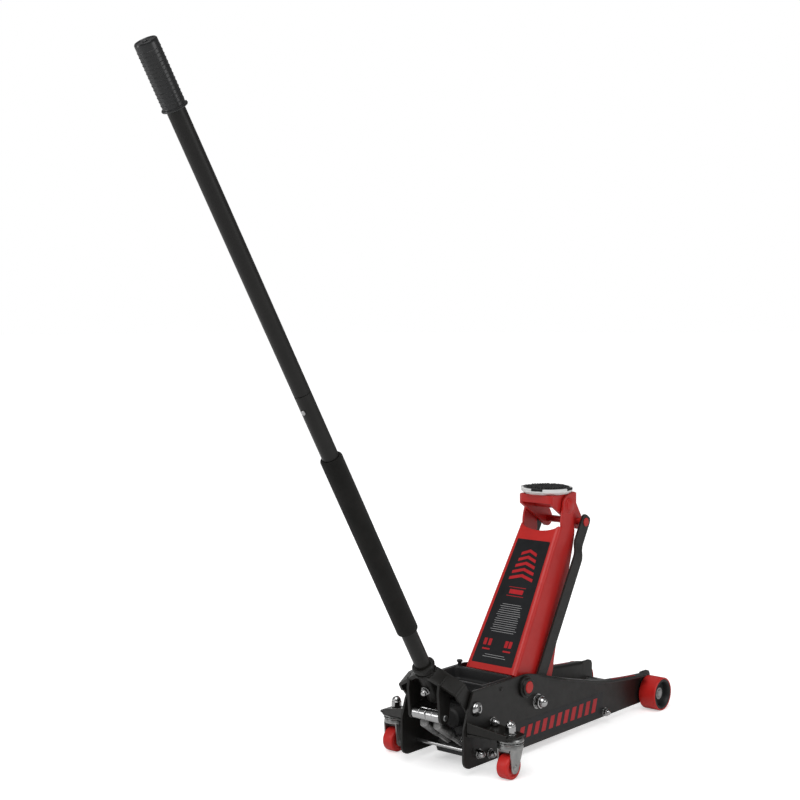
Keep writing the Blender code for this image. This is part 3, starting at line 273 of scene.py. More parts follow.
# %% Making a piece
def finish(name, mesh, material, body, stands_for=(), edge=0.0, steps=2, flat=35):
    """Piece from a mesh: shaded, its sharp edges rounded, riding on a body and standing for CAD nodes."""
    mesh.name = name
    if not mesh.materials:
        mesh.materials.append(material)
    mesh.shade_smooth()
    mesh.set_sharp_from_angle(angle=radians(flat))
    piece = bpy.data.objects.new(name, mesh)
    scene.collection.objects.link(piece)
    if edge:
        rounding = piece.modifiers.new("rounded edges", "BEVEL")
        rounding.width, rounding.segments, rounding.limit_method = edge, steps, "ANGLE"
        rounding.angle_limit, rounding.harden_normals = radians(flat), True
    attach(piece, body)
    if stands_for:
        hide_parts(*((stands_for,) if isinstance(stands_for, str) else stands_for))
    print(f"{name}: {len(mesh.polygons)} faces on {body}")
    return piece


def mesh_of(solid, place=None):
    """Mesh from a bmesh, moved into place with its faces turned outwards."""
    if place is not None:
        bmesh.ops.transform(solid, matrix=place, verts=solid.verts)
    bmesh.ops.recalc_face_normals(solid, faces=solid.faces)
    if solid.calc_volume(signed=True) < 0:
        bmesh.ops.reverse_faces(solid, faces=solid.faces)
    mesh = bpy.data.meshes.new("piece")
    solid.to_mesh(mesh)
    solid.free()
    return mesh


def joined(*meshes):
    """One mesh of several closed shells."""
    solid = bmesh.new()
    for mesh in meshes:
        solid.from_mesh(mesh)
        bpy.data.meshes.remove(mesh)
    mesh = bpy.data.meshes.new("piece")
    solid.to_mesh(mesh)
    solid.free()
    return mesh


# %% Turned, pushed and copied solids
def arc(centre, radius, start, end, steps):
    return [(centre[0] + radius * cos(radians(start + (end - start) * k / steps)),
             centre[1] + radius * sin(radians(start + (end - start) * k / steps))) for k in range(steps + 1)]


def mirrored(half):
    """Profile of a pin that is alike at both ends, from the points of its upper end inwards."""
    return [(r, -h) for r, h in half] + half[::-1]


def chamfered(radius, end, cut, rise=None):
    """Profile of a plain bar with chamfered ends."""
    return mirrored([(0, end), (radius - cut, end), (radius, end - (rise or cut))])


def turned(profile, place, steps=48, ring=False):
    """Profile of (radius, height) turned about the frame's Z. A ring's profile closes on itself."""
    solid = bmesh.new()
    verts = [solid.verts.new((r, 0, h)) for r, h in profile]
    edges = [solid.edges.new(pair) for pair in zip(verts, verts[1:])]
    if ring:
        edges.append(solid.edges.new((verts[-1], verts[0])))
    bmesh.ops.spin(solid, geom=verts + edges, axis=(0, 0, 1), cent=(0, 0, 0), angle=2 * pi, steps=steps,
                   use_merge=True)
    bmesh.ops.remove_doubles(solid, verts=solid.verts, dist=1e-6)
    return mesh_of(solid, place)


def pushed(outline, low, high, place=None, axis="Y"):
    """Closed outline of (x, z) pushed along Y, or of (x, y) pushed along Z."""
    solid = bmesh.new()
    put = (lambda p: (p[0], low, p[1])) if axis == "Y" else (lambda p: (p[0], p[1], low))
    face = solid.faces.new([solid.verts.new(put(p)) for p in outline])
    out = bmesh.ops.extrude_face_region(solid, geom=[face])
    shift = (0, high - low, 0) if axis == "Y" else (0, 0, high - low)
    bmesh.ops.translate(solid, verts=[v for v in out["geom"] if isinstance(v, bmesh.types.BMVert)], vec=shift)
    return mesh_of(solid, place)


def copied(name):
    """CAD node's shape with its triangles welded and its flats made whole, ready for rounded edges."""
    solid = bmesh.new()
    solid.from_mesh(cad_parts[name].data)
    bmesh.ops.remove_doubles(solid, verts=solid.verts, dist=2e-5)
    bmesh.ops.dissolve_limit(solid, angle_limit=radians(1.0), verts=solid.verts, edges=solid.edges)
    mesh = bpy.data.meshes.new(name)
    solid.to_mesh(mesh)
    solid.free()
    return mesh


def along_y(point, side=1):
    """Frame whose Z runs outwards along the cross axis."""
    return Matrix.Translation(point) @ Matrix.Rotation(-side * pi / 2, 4, "X")


# %% [markdown]
# ## Rules as trees
#
# Some pieces are one shape repeated by a rule: the grip's ribs, the pad's tread blocks, a spring's coils. A
# Python loop could place them. A Geometry Nodes tree states the rule once, with its sizes as named inputs, so
# the same tree serves both springs or a longer grip. The helper below gives a tree's inputs their values, takes
# the result as a plain mesh, and throws the modifier away.

# %% Helpers for node trees
def rule(name, **sizes):
    """New tree with named inputs. Returns the tree, its inputs by name, and a function that ends it."""
    tree = bpy.data.node_groups.new(name, "GeometryNodeTree")
    tree.interface.new_socket("Geometry", in_out="INPUT", socket_type="NodeSocketGeometry")
    for label, value in sizes.items():
        kind = "NodeSocketInt" if isinstance(value, int) else "NodeSocketFloat"
        tree.interface.new_socket(label.replace("_", " "), in_out="INPUT", socket_type=kind).default_value = value
    tree.interface.new_socket("Material", in_out="INPUT", socket_type="NodeSocketMaterial")
    tree.interface.new_socket("Geometry", in_out="OUTPUT", socket_type="NodeSocketGeometry")
    start, end = tree.nodes.new("NodeGroupInput"), tree.nodes.new("NodeGroupOutput")

    def close(shape):
        solid = node(tree, "GeometryNodeRealizeInstances", Geometry=shape).outputs[0]
        painted = node(tree, "GeometryNodeSetMaterial", Geometry=solid, Material=start.outputs["Material"])
        wire(tree, painted.outputs[0], end.inputs[0])
        return tree

    return tree, start.outputs, close


def grown(tree, material, place=None, seed=None, **sizes):
    """Plain mesh that a tree makes with these sizes, moved into place."""
    mesh = seed or bpy.data.meshes.new("seed")
    carrier = bpy.data.objects.new("seed", mesh)
    scene.collection.objects.link(carrier)
    rules = carrier.modifiers.new("rule", "NODES")
    rules.node_group = tree
    sizes["Material"] = material
    for plug in tree.interface.items_tree:
        key = plug.name.replace(" ", "_")
        if plug.in_out == "INPUT" and key in sizes:
            rules[plug.identifier] = sizes[key]
    graph = bpy.context.evaluated_depsgraph_get()
    result = bpy.data.meshes.new_from_object(carrier.evaluated_get(graph), depsgraph=graph)
    bpy.data.objects.remove(carrier)
    if place is not None:
        result.transform(place)
    return result


def math(tree, operation, first, second=0.0):
    """Socket with the result of one sum."""
    made = tree.nodes.new("ShaderNodeMath")
    made.operation = operation
    for plug, value in zip(made.inputs, (first, second)):
        if isinstance(value, bpy.types.NodeSocket):
            wire(tree, value, plug)
        else:
            plug.default_value = value
    return made.outputs[0]


def xyz(tree, x=0.0, y=0.0, z=0.0):
    return node(tree, "ShaderNodeCombineXYZ", X=x, Y=y, Z=z).outputs[0]


# %% [markdown]
# ## Side plates
#
# Each side is one plate of 5 mm steel. Behind the arm it is a plain wall; in front its top edge is folded
# outwards into a flange, which stiffens the long low nose. It could be a flat plate joined to a strip, but a fold
# has no seam. So the plate is drawn as a run of cross-sections from tail to nose: each one is the outline that a
# saw would show there, and the flange grows, runs and dies away inside the same skin.

# %% The outline of a plate
PLATE_LONG, PLATE_LOW = 0.700, 0.016
FLANGE, DROOP = 0.020, 0.0010                   # the flange's full width, and how far its edge hangs
TOP_LINE = [(0.0, 0.0917), (0.0012, 0.0990), (0.0045, 0.1075), (0.012, 0.1300), (0.0205, 0.1470), (0.0300, 0.1680),
            (0.0320, 0.1690), (0.2050, 0.1690), (0.2220, 0.1672), (0.2560, 0.1592), (0.2900, 0.1500),
            (0.3300, 0.1382),
            (0.3760, 0.1270), (0.4200, 0.1168), (0.4620, 0.1074), (0.4960, 0.1010), (0.5300, 0.0974),
            (0.5620, 0.0935),
            (0.5940, 0.0902), (0.6550, 0.0850), (0.6620, 0.0860), (0.6880, 0.0856), (0.6966, 0.0822),
            (0.7000, 0.0750)]


def height_at(x):
    for (x0, z0), (x1, z1) in zip(TOP_LINE, TOP_LINE[1:]):
        if x <= x1:
            return z0 + (z1 - z0) * (x - x0) / (x1 - x0)
    return TOP_LINE[-1][1]


def smooth_height(x, reach=0.012):
    """Height of the top edge, its corners eased in front of the shaft."""
    if x < 0.215 or x > 0.640:
        return height_at(x)
    return sum(height_at(x + reach * k / 4) for k in range(-4, 5)) / 9


def bottom_at(x):
    rear, front = 0.020, 0.018
    if x < rear:
        return PLATE_LOW + rear - max(0.0, rear ** 2 - (rear - x) ** 2) ** 0.5
    if x > PLATE_LONG - front:
        return PLATE_LOW + front - max(0.0, front ** 2 - (x - PLATE_LONG + front) ** 2) ** 0.5
    return PLATE_LOW


def eased(x, start, span):
    """Rises smoothly from 0 to 1 over a span."""
    share = max(0.0, min(1.0, (x - start) / span))
    return share * share * (3 - 2 * share)


def flange_at(x):
    """How far the flange stands out of the plate."""
    fade = max(0.0, min(1.0, (0.662 - x) / 0.008))
    return FLANGE * eased(x, 0.250, 0.085) * fade ** 0.5


print("flange widths in mm:", [round(1000 * flange_at(x), 1) for x in (0.26, 0.30, 0.34, 0.50, 0.65)])


def droop_at(x):
    """How far the flange's outer edge hangs below its fold."""
    return DROOP * eased(x, 0.360, 0.140) * flange_at(x) / FLANGE


# %% Sections from tail to nose
def plate_section(x):
    """Closed loop of (y, z) round the steel at one place along the plate."""
    top, low, wide = smooth_height(x), bottom_at(x), flange_at(x)
    share = wide / FLANGE
    fold, thick = 0.0008 + 0.0057 * min(1, share), 0.0042 + 0.0008 * (share == 0)
    tip, crook = min(0.0012, wide / 2 + 0.0006), min(0.003, wide / 2)
    edge, rim = PLATE_OUT + wide, top - droop_at(x)
    loop = [(PLATE_IN, low)] + arc((PLATE_IN + fold, top - fold), fold, 180, 90, 6)
    loop += arc((edge - tip, rim - tip), tip, 90, 0, 3)
    loop += arc((edge - min(tip, wide / 2), rim - thick + min(tip, wide / 2)), min(tip, wide / 2), 0, -90, 3)
    loop += arc((PLATE_OUT + crook, top - thick - crook), crook, 90, 180, 4)
    return loop + [(PLATE_OUT, low)]


def skinned(sections, place=None):
    """Closed skin through a run of equal loops of points."""
    solid = bmesh.new()
    rings = [[solid.verts.new(p) for p in loop] for loop in sections]
    for near, far in zip(rings, rings[1:]):
        for k in range(len(near)):
            m = (k + 1) % len(near)
            solid.faces.new((near[k], near[m], far[m], far[k]))
    solid.faces.new(rings[0])
    solid.faces.new(rings[-1])
    bmesh.ops.remove_doubles(solid, verts=solid.verts, dist=1e-5)
    bmesh.ops.dissolve_degenerate(solid, dist=1e-5, edges=solid.edges)
    return mesh_of(solid, place)


stations = [0.020 * (1 - cos(pi / 2 * k / 8)) for k in range(8)] + [0.0205, 0.025, 0.0300, 0.0320]
stations += [0.05 + 0.02 * k for k in range(8)] + [0.200 + 0.006 * k for k in range(76)] + [0.6560]
stations += [0.6575 + 0.0015 * k for k in range(16)] + [0.682 + 0.018 * sin(pi / 2 * k / 10) for k in range(11)]
for word, side in SIDES.items():
    loops = [[(REAR + x, side * y, z) for y, z in plate_section(x)] for x in stations]
    finish(f"chassis_side_{word}", skinned(loops), black_coat, "chassis", f"side_plate_{word}", edge=0.0008)

# %% [markdown]
# ## Lift arm
#
# The arm is a channel: one face of steel folded back at both sides, tapering towards the saddle, with ears at
# the top for the saddle's pin and a pair of levers below that the ram pushes. Boxes joined with Booleans would
# leave square corners where a press brake leaves a radius. The two side outlines are drawn once, and the folded
# face is skinned between their front edges, so the whole channel is one closed skin with real folds.

# %% The channel's sizes
FACE_LOW, FACE_TOP = (0.0118, 0.0244), (0.351, 0.0144)     # lower and upper edge of the face, up and forward
ARM_THICK, FOLD = 0.005, 0.009
EAR_R, HUB_R, LEVER_R = 0.0245, 0.024, 0.015
HALF_LOW, HALF_TOP = 0.0655, 0.050                         # the arm's half width at the shaft and at the saddle
LEVER_LONG, LEVER_TURN = 0.058, radians(-119.45)
LEVER = (LEVER_LONG * cos(LEVER_TURN), LEVER_LONG * sin(LEVER_TURN))


def half_at(a):
    """Half width of the arm at a height along it."""
    return HALF_LOW + (HALF_TOP - HALF_LOW) * a / ARM_LONG


def front_at(a):
    return FACE_LOW[1] + (FACE_TOP[1] - FACE_LOW[1]) * (a - FACE_LOW[0]) / (FACE_TOP[0] - FACE_LOW[0])


def side_outline():
    """Side of the channel from the fold's foot up round the ear, down the back and round the lever."""
    a, n = FACE_TOP
    line = [(FACE_LOW[0], FACE_LOW[1] - FOLD), (a, n - FOLD), (a + 0.006, n - FOLD + 0.0045),
            (a + 0.013, n - 0.001),
            (a + 0.022, n + 0.002)]
    line += arc((ARM_LONG, 0), EAR_R, 122, -118, 32)
    line += [(0.366, -0.0440), (0.358, -0.0475), (0.340, -0.0522), (0.300, -0.0600), (0.240, -0.0700),
             (0.180, -0.0812),
             (0.114, -0.0940), (0.090, -0.1000), (0.072, -0.1052), (0.061, -0.1070), (0.048, -0.1062),
             (0.020, -0.0980),
             (0.000, -0.0820)]
    line += arc(LEVER, LEVER_R, -49.45, -204.45, 16)
    return line + arc((0, 0), HUB_R, -204.45, -241.45, 8)


# %% One skin for face, folds and sides
def face_path(a, inner=False):
    """Points (y, n) across the arm: up one fold, over the face, down the other."""
    half, front = half_at(a), front_at(a)
    radius = FOLD - ARM_THICK if inner else FOLD
    flat = half - FOLD
    first = arc((flat, front - FOLD), radius, 0, 90, 6)
    middle = [(flat * (1 - k / 16), front - (ARM_THICK if inner else 0)) for k in range(1, 32)]
    return first + middle + [(-y, n) for y, n in reversed(first)]


def dip_at(y, half):
    """The face's top edge is hollowed between its corners to clear the saddle head."""
    share = min(1.0, abs(y) / (0.88 * half))
    return 0.0150 * max(0.0, cos(pi / 2 * share)) ** 0.5


def channel():
    solid = bmesh.new()
    skins = {}
    for inner in (False, True):
        low = [(FACE_LOW[0], y, n) for y, n in face_path(FACE_LOW[0], inner)]
        top = []
        for k, (y, n) in enumerate(face_path(FACE_TOP[0], inner)):
            a = FACE_TOP[0] - dip_at(y, half_at(FACE_TOP[0]))
            top.append((a, *face_path(a, inner)[k]))
        skins[inner] = [[solid.verts.new(p) for p in row] for row in (low, top)]
        for k in range(len(low) - 1):
            solid.faces.new((skins[inner][0][k], skins[inner][0][k + 1], skins[inner][1][k + 1],
                             skins[inner][1][k]))
    for row in (0, 1):
        for k in range(len(skins[False][row]) - 1):
            solid.faces.new((skins[False][row][k], skins[False][row][k + 1], skins[True][row][k + 1],
                             skins[True][row][k]))
    for side, end in ((1, 0), (-1, -1)):
        walls = []
        for inner in (False, True):
            ring = [skins[inner][0][end], skins[inner][1][end]]
            ring += [solid.verts.new((a, side * (half_at(a) - (ARM_THICK if inner else 0)), n)) for a,
                     n in side_outline()[2:]]
            solid.faces.new(ring)
            walls.append(ring)
        for k in range(1, len(walls[0])):
            m = (k + 1) % len(walls[0])
            solid.faces.new((walls[0][k], walls[0][m], walls[1][m], walls[1][k]))
    return mesh_of(solid, ARM)


finish("arm_channel", channel(), red_coat, "arm", "lift_arm", edge=0.0009)

# %% Ears, hubs and pins of the arm
for word, side in SIDES.items():
    ear = [(0.0092, -0.001), (0.0168, -0.001), (0.0168, 0.0009), (0.0160, 0.0014), (0.0092, 0.0014)]
    tip = ARM @ Vector((ARM_LONG, side * half_at(ARM_LONG), 0))
    finish(f"ear_boss_{word}", turned(ear, along_y(tip, side), ring=True), red_coat, "arm", edge=0.0003)
    hub = [(0.013, -0.020), (0.0190, -0.020), (0.0190, -0.0062), (0.013, -0.0062)]
    seat = ARM @ Vector((0, side * half_at(0), 0))
    finish(f"hub_sleeve_{word}", turned(hub, along_y(seat, side), ring=True), red_coat, "arm", edge=0.0006)
end = half_at(ARM_LONG - 0.012)
pin = mirrored([(0, end + 0.0032), (0.0105, end + 0.0032), (0.0120, end + 0.0022), (0.0120, end + 0.0005),
                (0.0090, end)])
finish("saddle_pivot_pin", turned(pin, along_y(HEAD.translation)), red_coat, "arm", "head_pin", edge=0.0003)
finish("arm_shaft", turned(chamfered(0.0125, 0.0930, 0.0013), along_y(SHAFT)), red_coat, "arm", "lift_shaft",
       edge=0.0003)
lever_tip = ARM @ Vector((LEVER[0], 0, LEVER[1]))
finish("ram_cross_pin", turned(chamfered(0.0080, 0.0662, 0.0012), along_y(lever_tip)), machined, "arm",
       "lever_pin")

# %% [markdown]
# ## Saddle
#
# The head stays level because the link bars hold it like a parallelogram. On it turns a dished saddle: a white
# ring with gaps in its rim, and a rubber pad whose lugs fill the gaps, so that the pad can't spin in the ring.
# The ring could be cut with Booleans. As its section is the same all round except in the gaps, it is drawn as
# sections at many angles instead, lower where a gap is. The pad's diagonal tread is a grid of small blocks kept
# only inside a circle, which is a rule for a tree.

# %% Head
finish("saddle_bracket", copied("saddle_head"), red_coat, "head", "saddle_head", edge=0.0018, steps=3)
end = 0.0640
pin = mirrored([(0, end + 0.0018), (0.0080, end + 0.0018), (0.0095, end + 0.0006), (0.0095, end - 0.0002),
                (0.0075, end - 0.0003)])
finish("link_cross_pin", turned(pin, along_y(HEAD @ LINK_STEP)), red_coat, "head", "link_pin", edge=0.0003)

# %% Ring with gaps in its rim
SADDLE_TURN = radians(10.7)
SADDLE = HEAD @ Matrix.Translation((-0.014, 0, 0.0258)) @ Matrix.Rotation(SADDLE_TURN, 4, "Z")
RING_R, RING_HIGH, RING_WALL, FLOOR_HIGH = 0.0554, 0.0125, 0.005, 0.004
GAPS, GAP_HALF, GAP_DEEP = 4, radians(14), 0.0042


def ring_section(angle):
    """Points of the ring's section at an angle about its axis."""
    step = 2 * pi / GAPS
    off = abs((angle + step / 2) % step - step / 2)
    rim = RING_HIGH - GAP_DEEP if off < GAP_HALF else RING_HIGH
    line = [(0.012, -0.0155), (0.012, 0), (RING_R - 0.0075, 0), (RING_R - 0.0065, 0.0006),
            (RING_R - 0.0008, 0.0046), (RING_R, 0.0056),
            (RING_R, rim - 0.0010), (RING_R - 0.0010, rim), (RING_R - 0.0042, rim),
            (RING_R - RING_WALL, rim - 0.0008),
            (RING_R - RING_WALL, FLOOR_HIGH), (0.012, FLOOR_HIGH)]
    return [(r * cos(angle), r * sin(angle), z) for r, z in line]


def notched_ring():
    angles = []
    for k in range(GAPS):
        mid, step = 2 * pi * k / GAPS, 2 * pi / GAPS
        angles += [mid - GAP_HALF * 0.999 + 2 * GAP_HALF * 0.999 * j / 6 for j in range(7)]
        angles += [mid + GAP_HALF * 1.02 + (step - 2.04 * GAP_HALF) * j / 10 for j in range(11)]
    solid = bmesh.new()
    rows = [[solid.verts.new(p) for p in ring_section(angle)] for angle in angles]
    for k, row in enumerate(rows):
        after = rows[(k + 1) % len(rows)]
        for j in range(len(row) - 1):
            solid.faces.new((row[j], row[j + 1], after[j + 1], after[j]))
    solid.faces.new([row[0] for row in rows])
    solid.faces.new([row[-1] for row in rows])
    return mesh_of(solid, SADDLE)


finish("saddle_ring", notched_ring(), white_coat, "saddle", "saddle_cup", edge=0.0004)

# %% Tree for a tread of blocks inside a circle
tree, given, close = rule("tread", Pitch=0.0095, Long=0.0078, Wide=0.0032, High=0.0024, Reach=0.044, Turn=0.785)
board = node(tree, "GeometryNodeMeshGrid", Size_X=0.18, Size_Y=0.18, Vertices_X=31, Vertices_Y=31)
scale = math(tree, "DIVIDE", given["Pitch"], 0.006)
board = node(tree, "GeometryNodeTransform", Geometry=board.outputs["Mesh"],
             Scale=xyz(tree, scale, math(tree, "MULTIPLY", scale, 0.62), 1.0),
             Rotation=xyz(tree, 0, 0, given["Turn"]))
where = node(tree, "GeometryNodeInputPosition").outputs[0]
far = node(tree, "ShaderNodeVectorMath", operation="LENGTH")
wire(tree, where, far.inputs[0])
outside = math(tree, "GREATER_THAN", far.outputs["Value"], given["Reach"])
kept = node(tree, "GeometryNodeDeleteGeometry", Geometry=board.outputs[0], Selection=outside)
block = node(tree, "GeometryNodeMeshCube", Size=xyz(tree, given["Long"], given["Wide"], given["High"]))
blocks = node(tree, "GeometryNodeInstanceOnPoints", Points=kept.outputs[0], Instance=block.outputs["Mesh"],
              Rotation=xyz(tree, 0, 0, given["Turn"]))
tread = close(blocks.outputs[0])

# %% Tree for lugs round a circle
tree, given, close = rule("spokes", Count=6, Reach=0.053, Long=0.010, Wide=0.020, High=0.008, Lift=0.0)
points = node(tree, "GeometryNodeMeshLine", Count=given["Count"], Offset=(0.0, 0.0, 0.0))
block = node(tree, "GeometryNodeMeshCube", Size=xyz(tree, given["Long"], given["Wide"], given["High"]))
block = node(tree, "GeometryNodeTransform", Geometry=block.outputs["Mesh"],
             Translation=xyz(tree, given["Reach"], 0, given["Lift"]))
turn = math(tree, "DIVIDE", math(tree, "MULTIPLY", node(tree, "GeometryNodeInputIndex").outputs[0], 2 * pi),
            given["Count"])
lugs = node(tree, "GeometryNodeInstanceOnPoints", Points=points.outputs[0], Instance=block.outputs[0],
            Rotation=xyz(tree, 0, 0, turn))
spokes = close(lugs.outputs[0])

# %% Pad
disc = [(0, FLOOR_HIGH), (0.0500, FLOOR_HIGH), (0.0500, 0.0122), (0.0488, 0.0134), (0, 0.0134)]
pad = [turned(disc, SADDLE, 72),
       grown(tread, rubber, SADDLE @ Matrix.Translation((0, 0, 0.0141))),
       grown(spokes, rubber, SADDLE, Count=GAPS, Reach=0.0510, Long=0.0084, Wide=0.0245, High=0.0044, Lift=0.0108)]
finish("saddle_tread_pad", joined(*pad), rubber, "saddle", "saddle_pad", edge=0.0004)

# %% [markdown]
# ## Link bars
#
# Two flat bars run beside the arm, from the chassis to the saddle head, and step inwards near the top to clear
# the ears. Each is sheared from flat bar, so it has round ends and crisp sides. A box with loop cuts would do;
# drawing the bar as sections from end to end gives the round ends and the step in one skin.

# %% Bars with round ends and a step
BAR_HALF, BAR_THICK, BAR_SQUARE = 0.0155, 0.005, 3.2     # how square the top is: 2 would be a half circle


def step_at(a):
    """Inner face of the bar, from the middle plane."""
    return 0.0685 - 0.010 * eased(a, 0.322, 0.034)


def bar_stations(long, end_low, end_top):
    low = [-end_low * cos(pi / 2 * k / 9) for k in range(9)]
    top = [long + end_top * sin(pi / 2 * k / 9) for k in range(10)]
    return low + [0.0] + [long * k / 40 for k in range(1, 40)] + top


def bar_half(a):
    """Half width: straight sides, a round foot, and a squarer rounded top."""
    if a < 0:
        return max(1e-7, BAR_HALF ** 2 - a * a) ** 0.5
    past = max(0.0, a - ARM_LONG) / BAR_HALF
    return BAR_HALF * max(1e-9, 1 - past ** BAR_SQUARE) ** (1 / BAR_SQUARE)


for word, side in SIDES.items():
    loops = []
    for a in bar_stations(ARM_LONG, BAR_HALF - 0.00005, BAR_HALF - 0.00005):
        half, near = bar_half(a), step_at(a)
        loops.append([(a, side * y, n) for y, n in ((near, -half), (near + BAR_THICK, -half),
                                                    (near + BAR_THICK, half), (near, half))])
    finish(f"parallel_bar_{word}", skinned(loops, LINK), black_coat, f"link_{word}", f"link_bar_{word}",
           edge=0.0009)

# %% [markdown]
# ## Wheels and castors
#
# The front wheels are black cores with a red polyurethane tyre moulded on; the castors are small solid wheels in
# pressed zinc forks that swivel on a ball race. All are turned shapes, so each is half a profile spun round its
# axle. The balls of the race are one ball repeated on a circle, which the tree below does for any count.

# %% Front wheels
WHEEL_R, WHEEL_IN, WHEEL_OUT, RIM_R = 0.0375, 0.084, 0.126, 0.0340
AXLE = spot(0.683, 0, WHEEL_R)
for word, side in SIDES.items():
    place = along_y(AXLE, side)
    low, high = WHEEL_IN, WHEEL_OUT
    tyre = [(RIM_R, low + 0.0008)] + arc((WHEEL_R - 0.0030, low + 0.0030), 0.0030, -90, 0, 6)
    tyre += [(WHEEL_R - 0.0001, low + 0.010), (WHEEL_R, 0.105), (WHEEL_R - 0.0001, high - 0.010)]
    tyre += arc((WHEEL_R - 0.0022, high - 0.0022), 0.0022, 0, 80, 6) + [(RIM_R, high - 0.0004)]
    finish(f"tyre_{word}", turned(tyre, place, 96, ring=True), red_tyre, f"front_{word}",
           f"front_wheel_tread_{word}", edge=0.0003)
    core = [(0.0103, low + 0.001), (0.016, low + 0.001), (0.0165, 0.099), (0.0255, 0.0985), (0.0265, low + 0.0015),
            (0.0337, low + 0.0015), (0.0337, high - 0.0006), (0.0325, high - 0.0002), (0.0300, high - 0.0002),
            (0.0285, high - 0.0016),
            (0.0268, high - 0.0060),
            (0.0252, 0.1120), (0.0225, 0.1110), (0.0165, 0.1110), (0.0150, 0.1124), (0.0150, 0.1145),
            (0.0103, 0.1145)]
    finish(f"wheel_core_{word}", turned(core, place, 72, ring=True), black_moulding, f"front_{word}",
           f"front_wheel_hub_{word}", edge=0.0005)
    clip = [(0.0088, 0.1148), (0.0132, 0.1148), (0.0132, 0.1160), (0.0088, 0.1160)]
    finish(f"axle_clip_{word}", turned(clip, place, 40, ring=True), machined, "chassis", edge=0.0002)
finish("wheel_axle", turned(chamfered(0.0092, 0.1180, 0.0017, 0.0018), along_y(AXLE)), machined, "chassis",
       "front_axle", edge=0.0003)

# %% Tree for balls round a race
tree, given, close = rule("ball_race", Count=18, Reach=0.0225, Ball=0.0022)
circle = node(tree, "GeometryNodeMeshCircle", Vertices=given["Count"], Radius=given["Reach"])
ball = node(tree, "GeometryNodeMeshIcoSphere", Radius=given["Ball"], Subdivisions=2)
balls = node(tree, "GeometryNodeInstanceOnPoints", Points=circle.outputs[0], Instance=ball.outputs["Mesh"])
ball_race = close(balls.outputs[0])

# %% Castors
CASTOR_X, CASTOR_OUT, CASTOR_R = 0.065, 0.146, 0.0249
CASTOR_PIN = CASTOR_X - 0.006                   # the wheel's pin trails behind the stud
for word, side in SIDES.items():
    centre = Matrix.Translation(spot(CASTOR_X, side * CASTOR_OUT, 0))
    pin = spot(CASTOR_PIN, side * CASTOR_OUT, CASTOR_R)
    upper = [(0.0063, 0.0818), (0.0240, 0.0818), (0.0262, 0.0790), (0.0266, 0.0772), (0.0268, 0.0752),
             (0.0250, 0.0742),
             (0.0236, 0.0746), (0.0226, 0.0752), (0.0063, 0.0750)]
    lower = [(0.0063, 0.0715), (0.0222, 0.0715), (0.0236, 0.0724), (0.0266, 0.0726), (0.0270, 0.0714),
             (0.0262, 0.0703),
             (0.0230, 0.0698), (0.0063, 0.0697)]
    races = joined(turned(upper, centre, 64, ring=True), turned(lower, centre, 64, ring=True))
    finish(f"castor_races_{word}", races, zinc, "chassis", f"castor_race_{word}", edge=0.0002)
    finish(f"castor_balls_{word}", grown(ball_race, chrome, centre @ Matrix.Translation((0, 0, 0.0733))),
           chrome, "chassis")
    crown = [(0.0063, 0.0600), (0.0225, 0.0600), (0.0258, 0.0612), (0.0258, 0.0640), (0.0245, 0.0690),
             (0.0063, 0.0690)]
    leg = [(CASTOR_X - 0.0215, 0.0620)] + arc((CASTOR_PIN, CASTOR_R), 0.0125, 195, 345,
                                              12) + [(CASTOR_X + 0.0205, 0.0620)]
    starts = [side * CASTOR_OUT + low for low in (-0.0170, 0.0140)]
    legs = [pushed(leg, start, start + 0.0030, Matrix.Translation((REAR, 0, 0))) for start in starts]
    finish(f"castor_yoke_{word}", joined(turned(crown, centre, 64, ring=True), *legs), zinc, f"castor_{word}",
           f"castor_fork_{word}", edge=0.0007)
    rivet = mirrored([(0, 0.0192), (0.0030, 0.0191), (0.0055, 0.0184), (0.0064, 0.0173), (0.004, 0.0173)])
    finish(f"castor_rivet_{word}", turned(rivet, along_y(pin), 32), zinc, f"castor_{word}",
           f"castor_axle_{word}", flat=60)
    half, radius = 0.0130, CASTOR_R
    wheel = [(0.0043, -half + 0.0006), (0.0085, -half + 0.0006), (0.0092, -half + 0.0020),
             (0.0165, -half + 0.0020), (0.0175, -half)]
    wheel += arc((radius - 0.0034, -half + 0.0034), 0.0034, -90, -8, 6) + [(radius, 0)]
    wheel += [(r, -h) for r, h in reversed(wheel)]
    finish(f"castor_roller_{word}", turned(wheel, along_y(pin), 72, ring=True), red_tyre, f"castor_roll_{word}",
           f"castor_wheel_{word}", edge=0.0003)
    finish(f"castor_wing_{word}", copied(f"castor_bracket_{word}"), black_coat, "chassis",
           f"castor_bracket_{word}", edge=0.0010)

# %% [markdown]
# ## Nuts and bolts
#
# The bolts end in acorn nuts: a hexagon with a dome over the thread, on a washer. The same nut comes in five
# sizes, so a tree builds it from four measures and puts one on each point of a small mesh. The pivot bolt has a
# button head with a hexagon socket, which is a turned shape whose inner edge is pulled into six sides.

# %% Tree for acorn nuts on points
tree, given, close = rule("acorn_nuts", Across=0.0085, High=0.0070, Dome=0.0068, Washer=0.0105)
points = node(tree, "GeometryNodeMeshToPoints", Mesh=given["Geometry"])
washer = node(tree, "GeometryNodeMeshCylinder", Vertices=40, Radius=given["Washer"], Depth=0.0014)
washer = node(tree, "GeometryNodeTransform", Geometry=washer.outputs["Mesh"], Translation=(0.0, 0.0, 0.0007))
body = node(tree, "GeometryNodeMeshCylinder", Vertices=6, Radius=given["Across"], Depth=given["High"])
body = node(tree, "GeometryNodeTransform", Geometry=body.outputs["Mesh"],
            Translation=xyz(tree, 0, 0, math(tree, "ADD", math(tree, "MULTIPLY", given["High"], 0.5), 0.0014)))
cone = node(tree, "GeometryNodeMeshCone", Vertices=40, Radius_Bottom=given["Across"], Radius_Top=given["Dome"],
            Depth=0.0012)
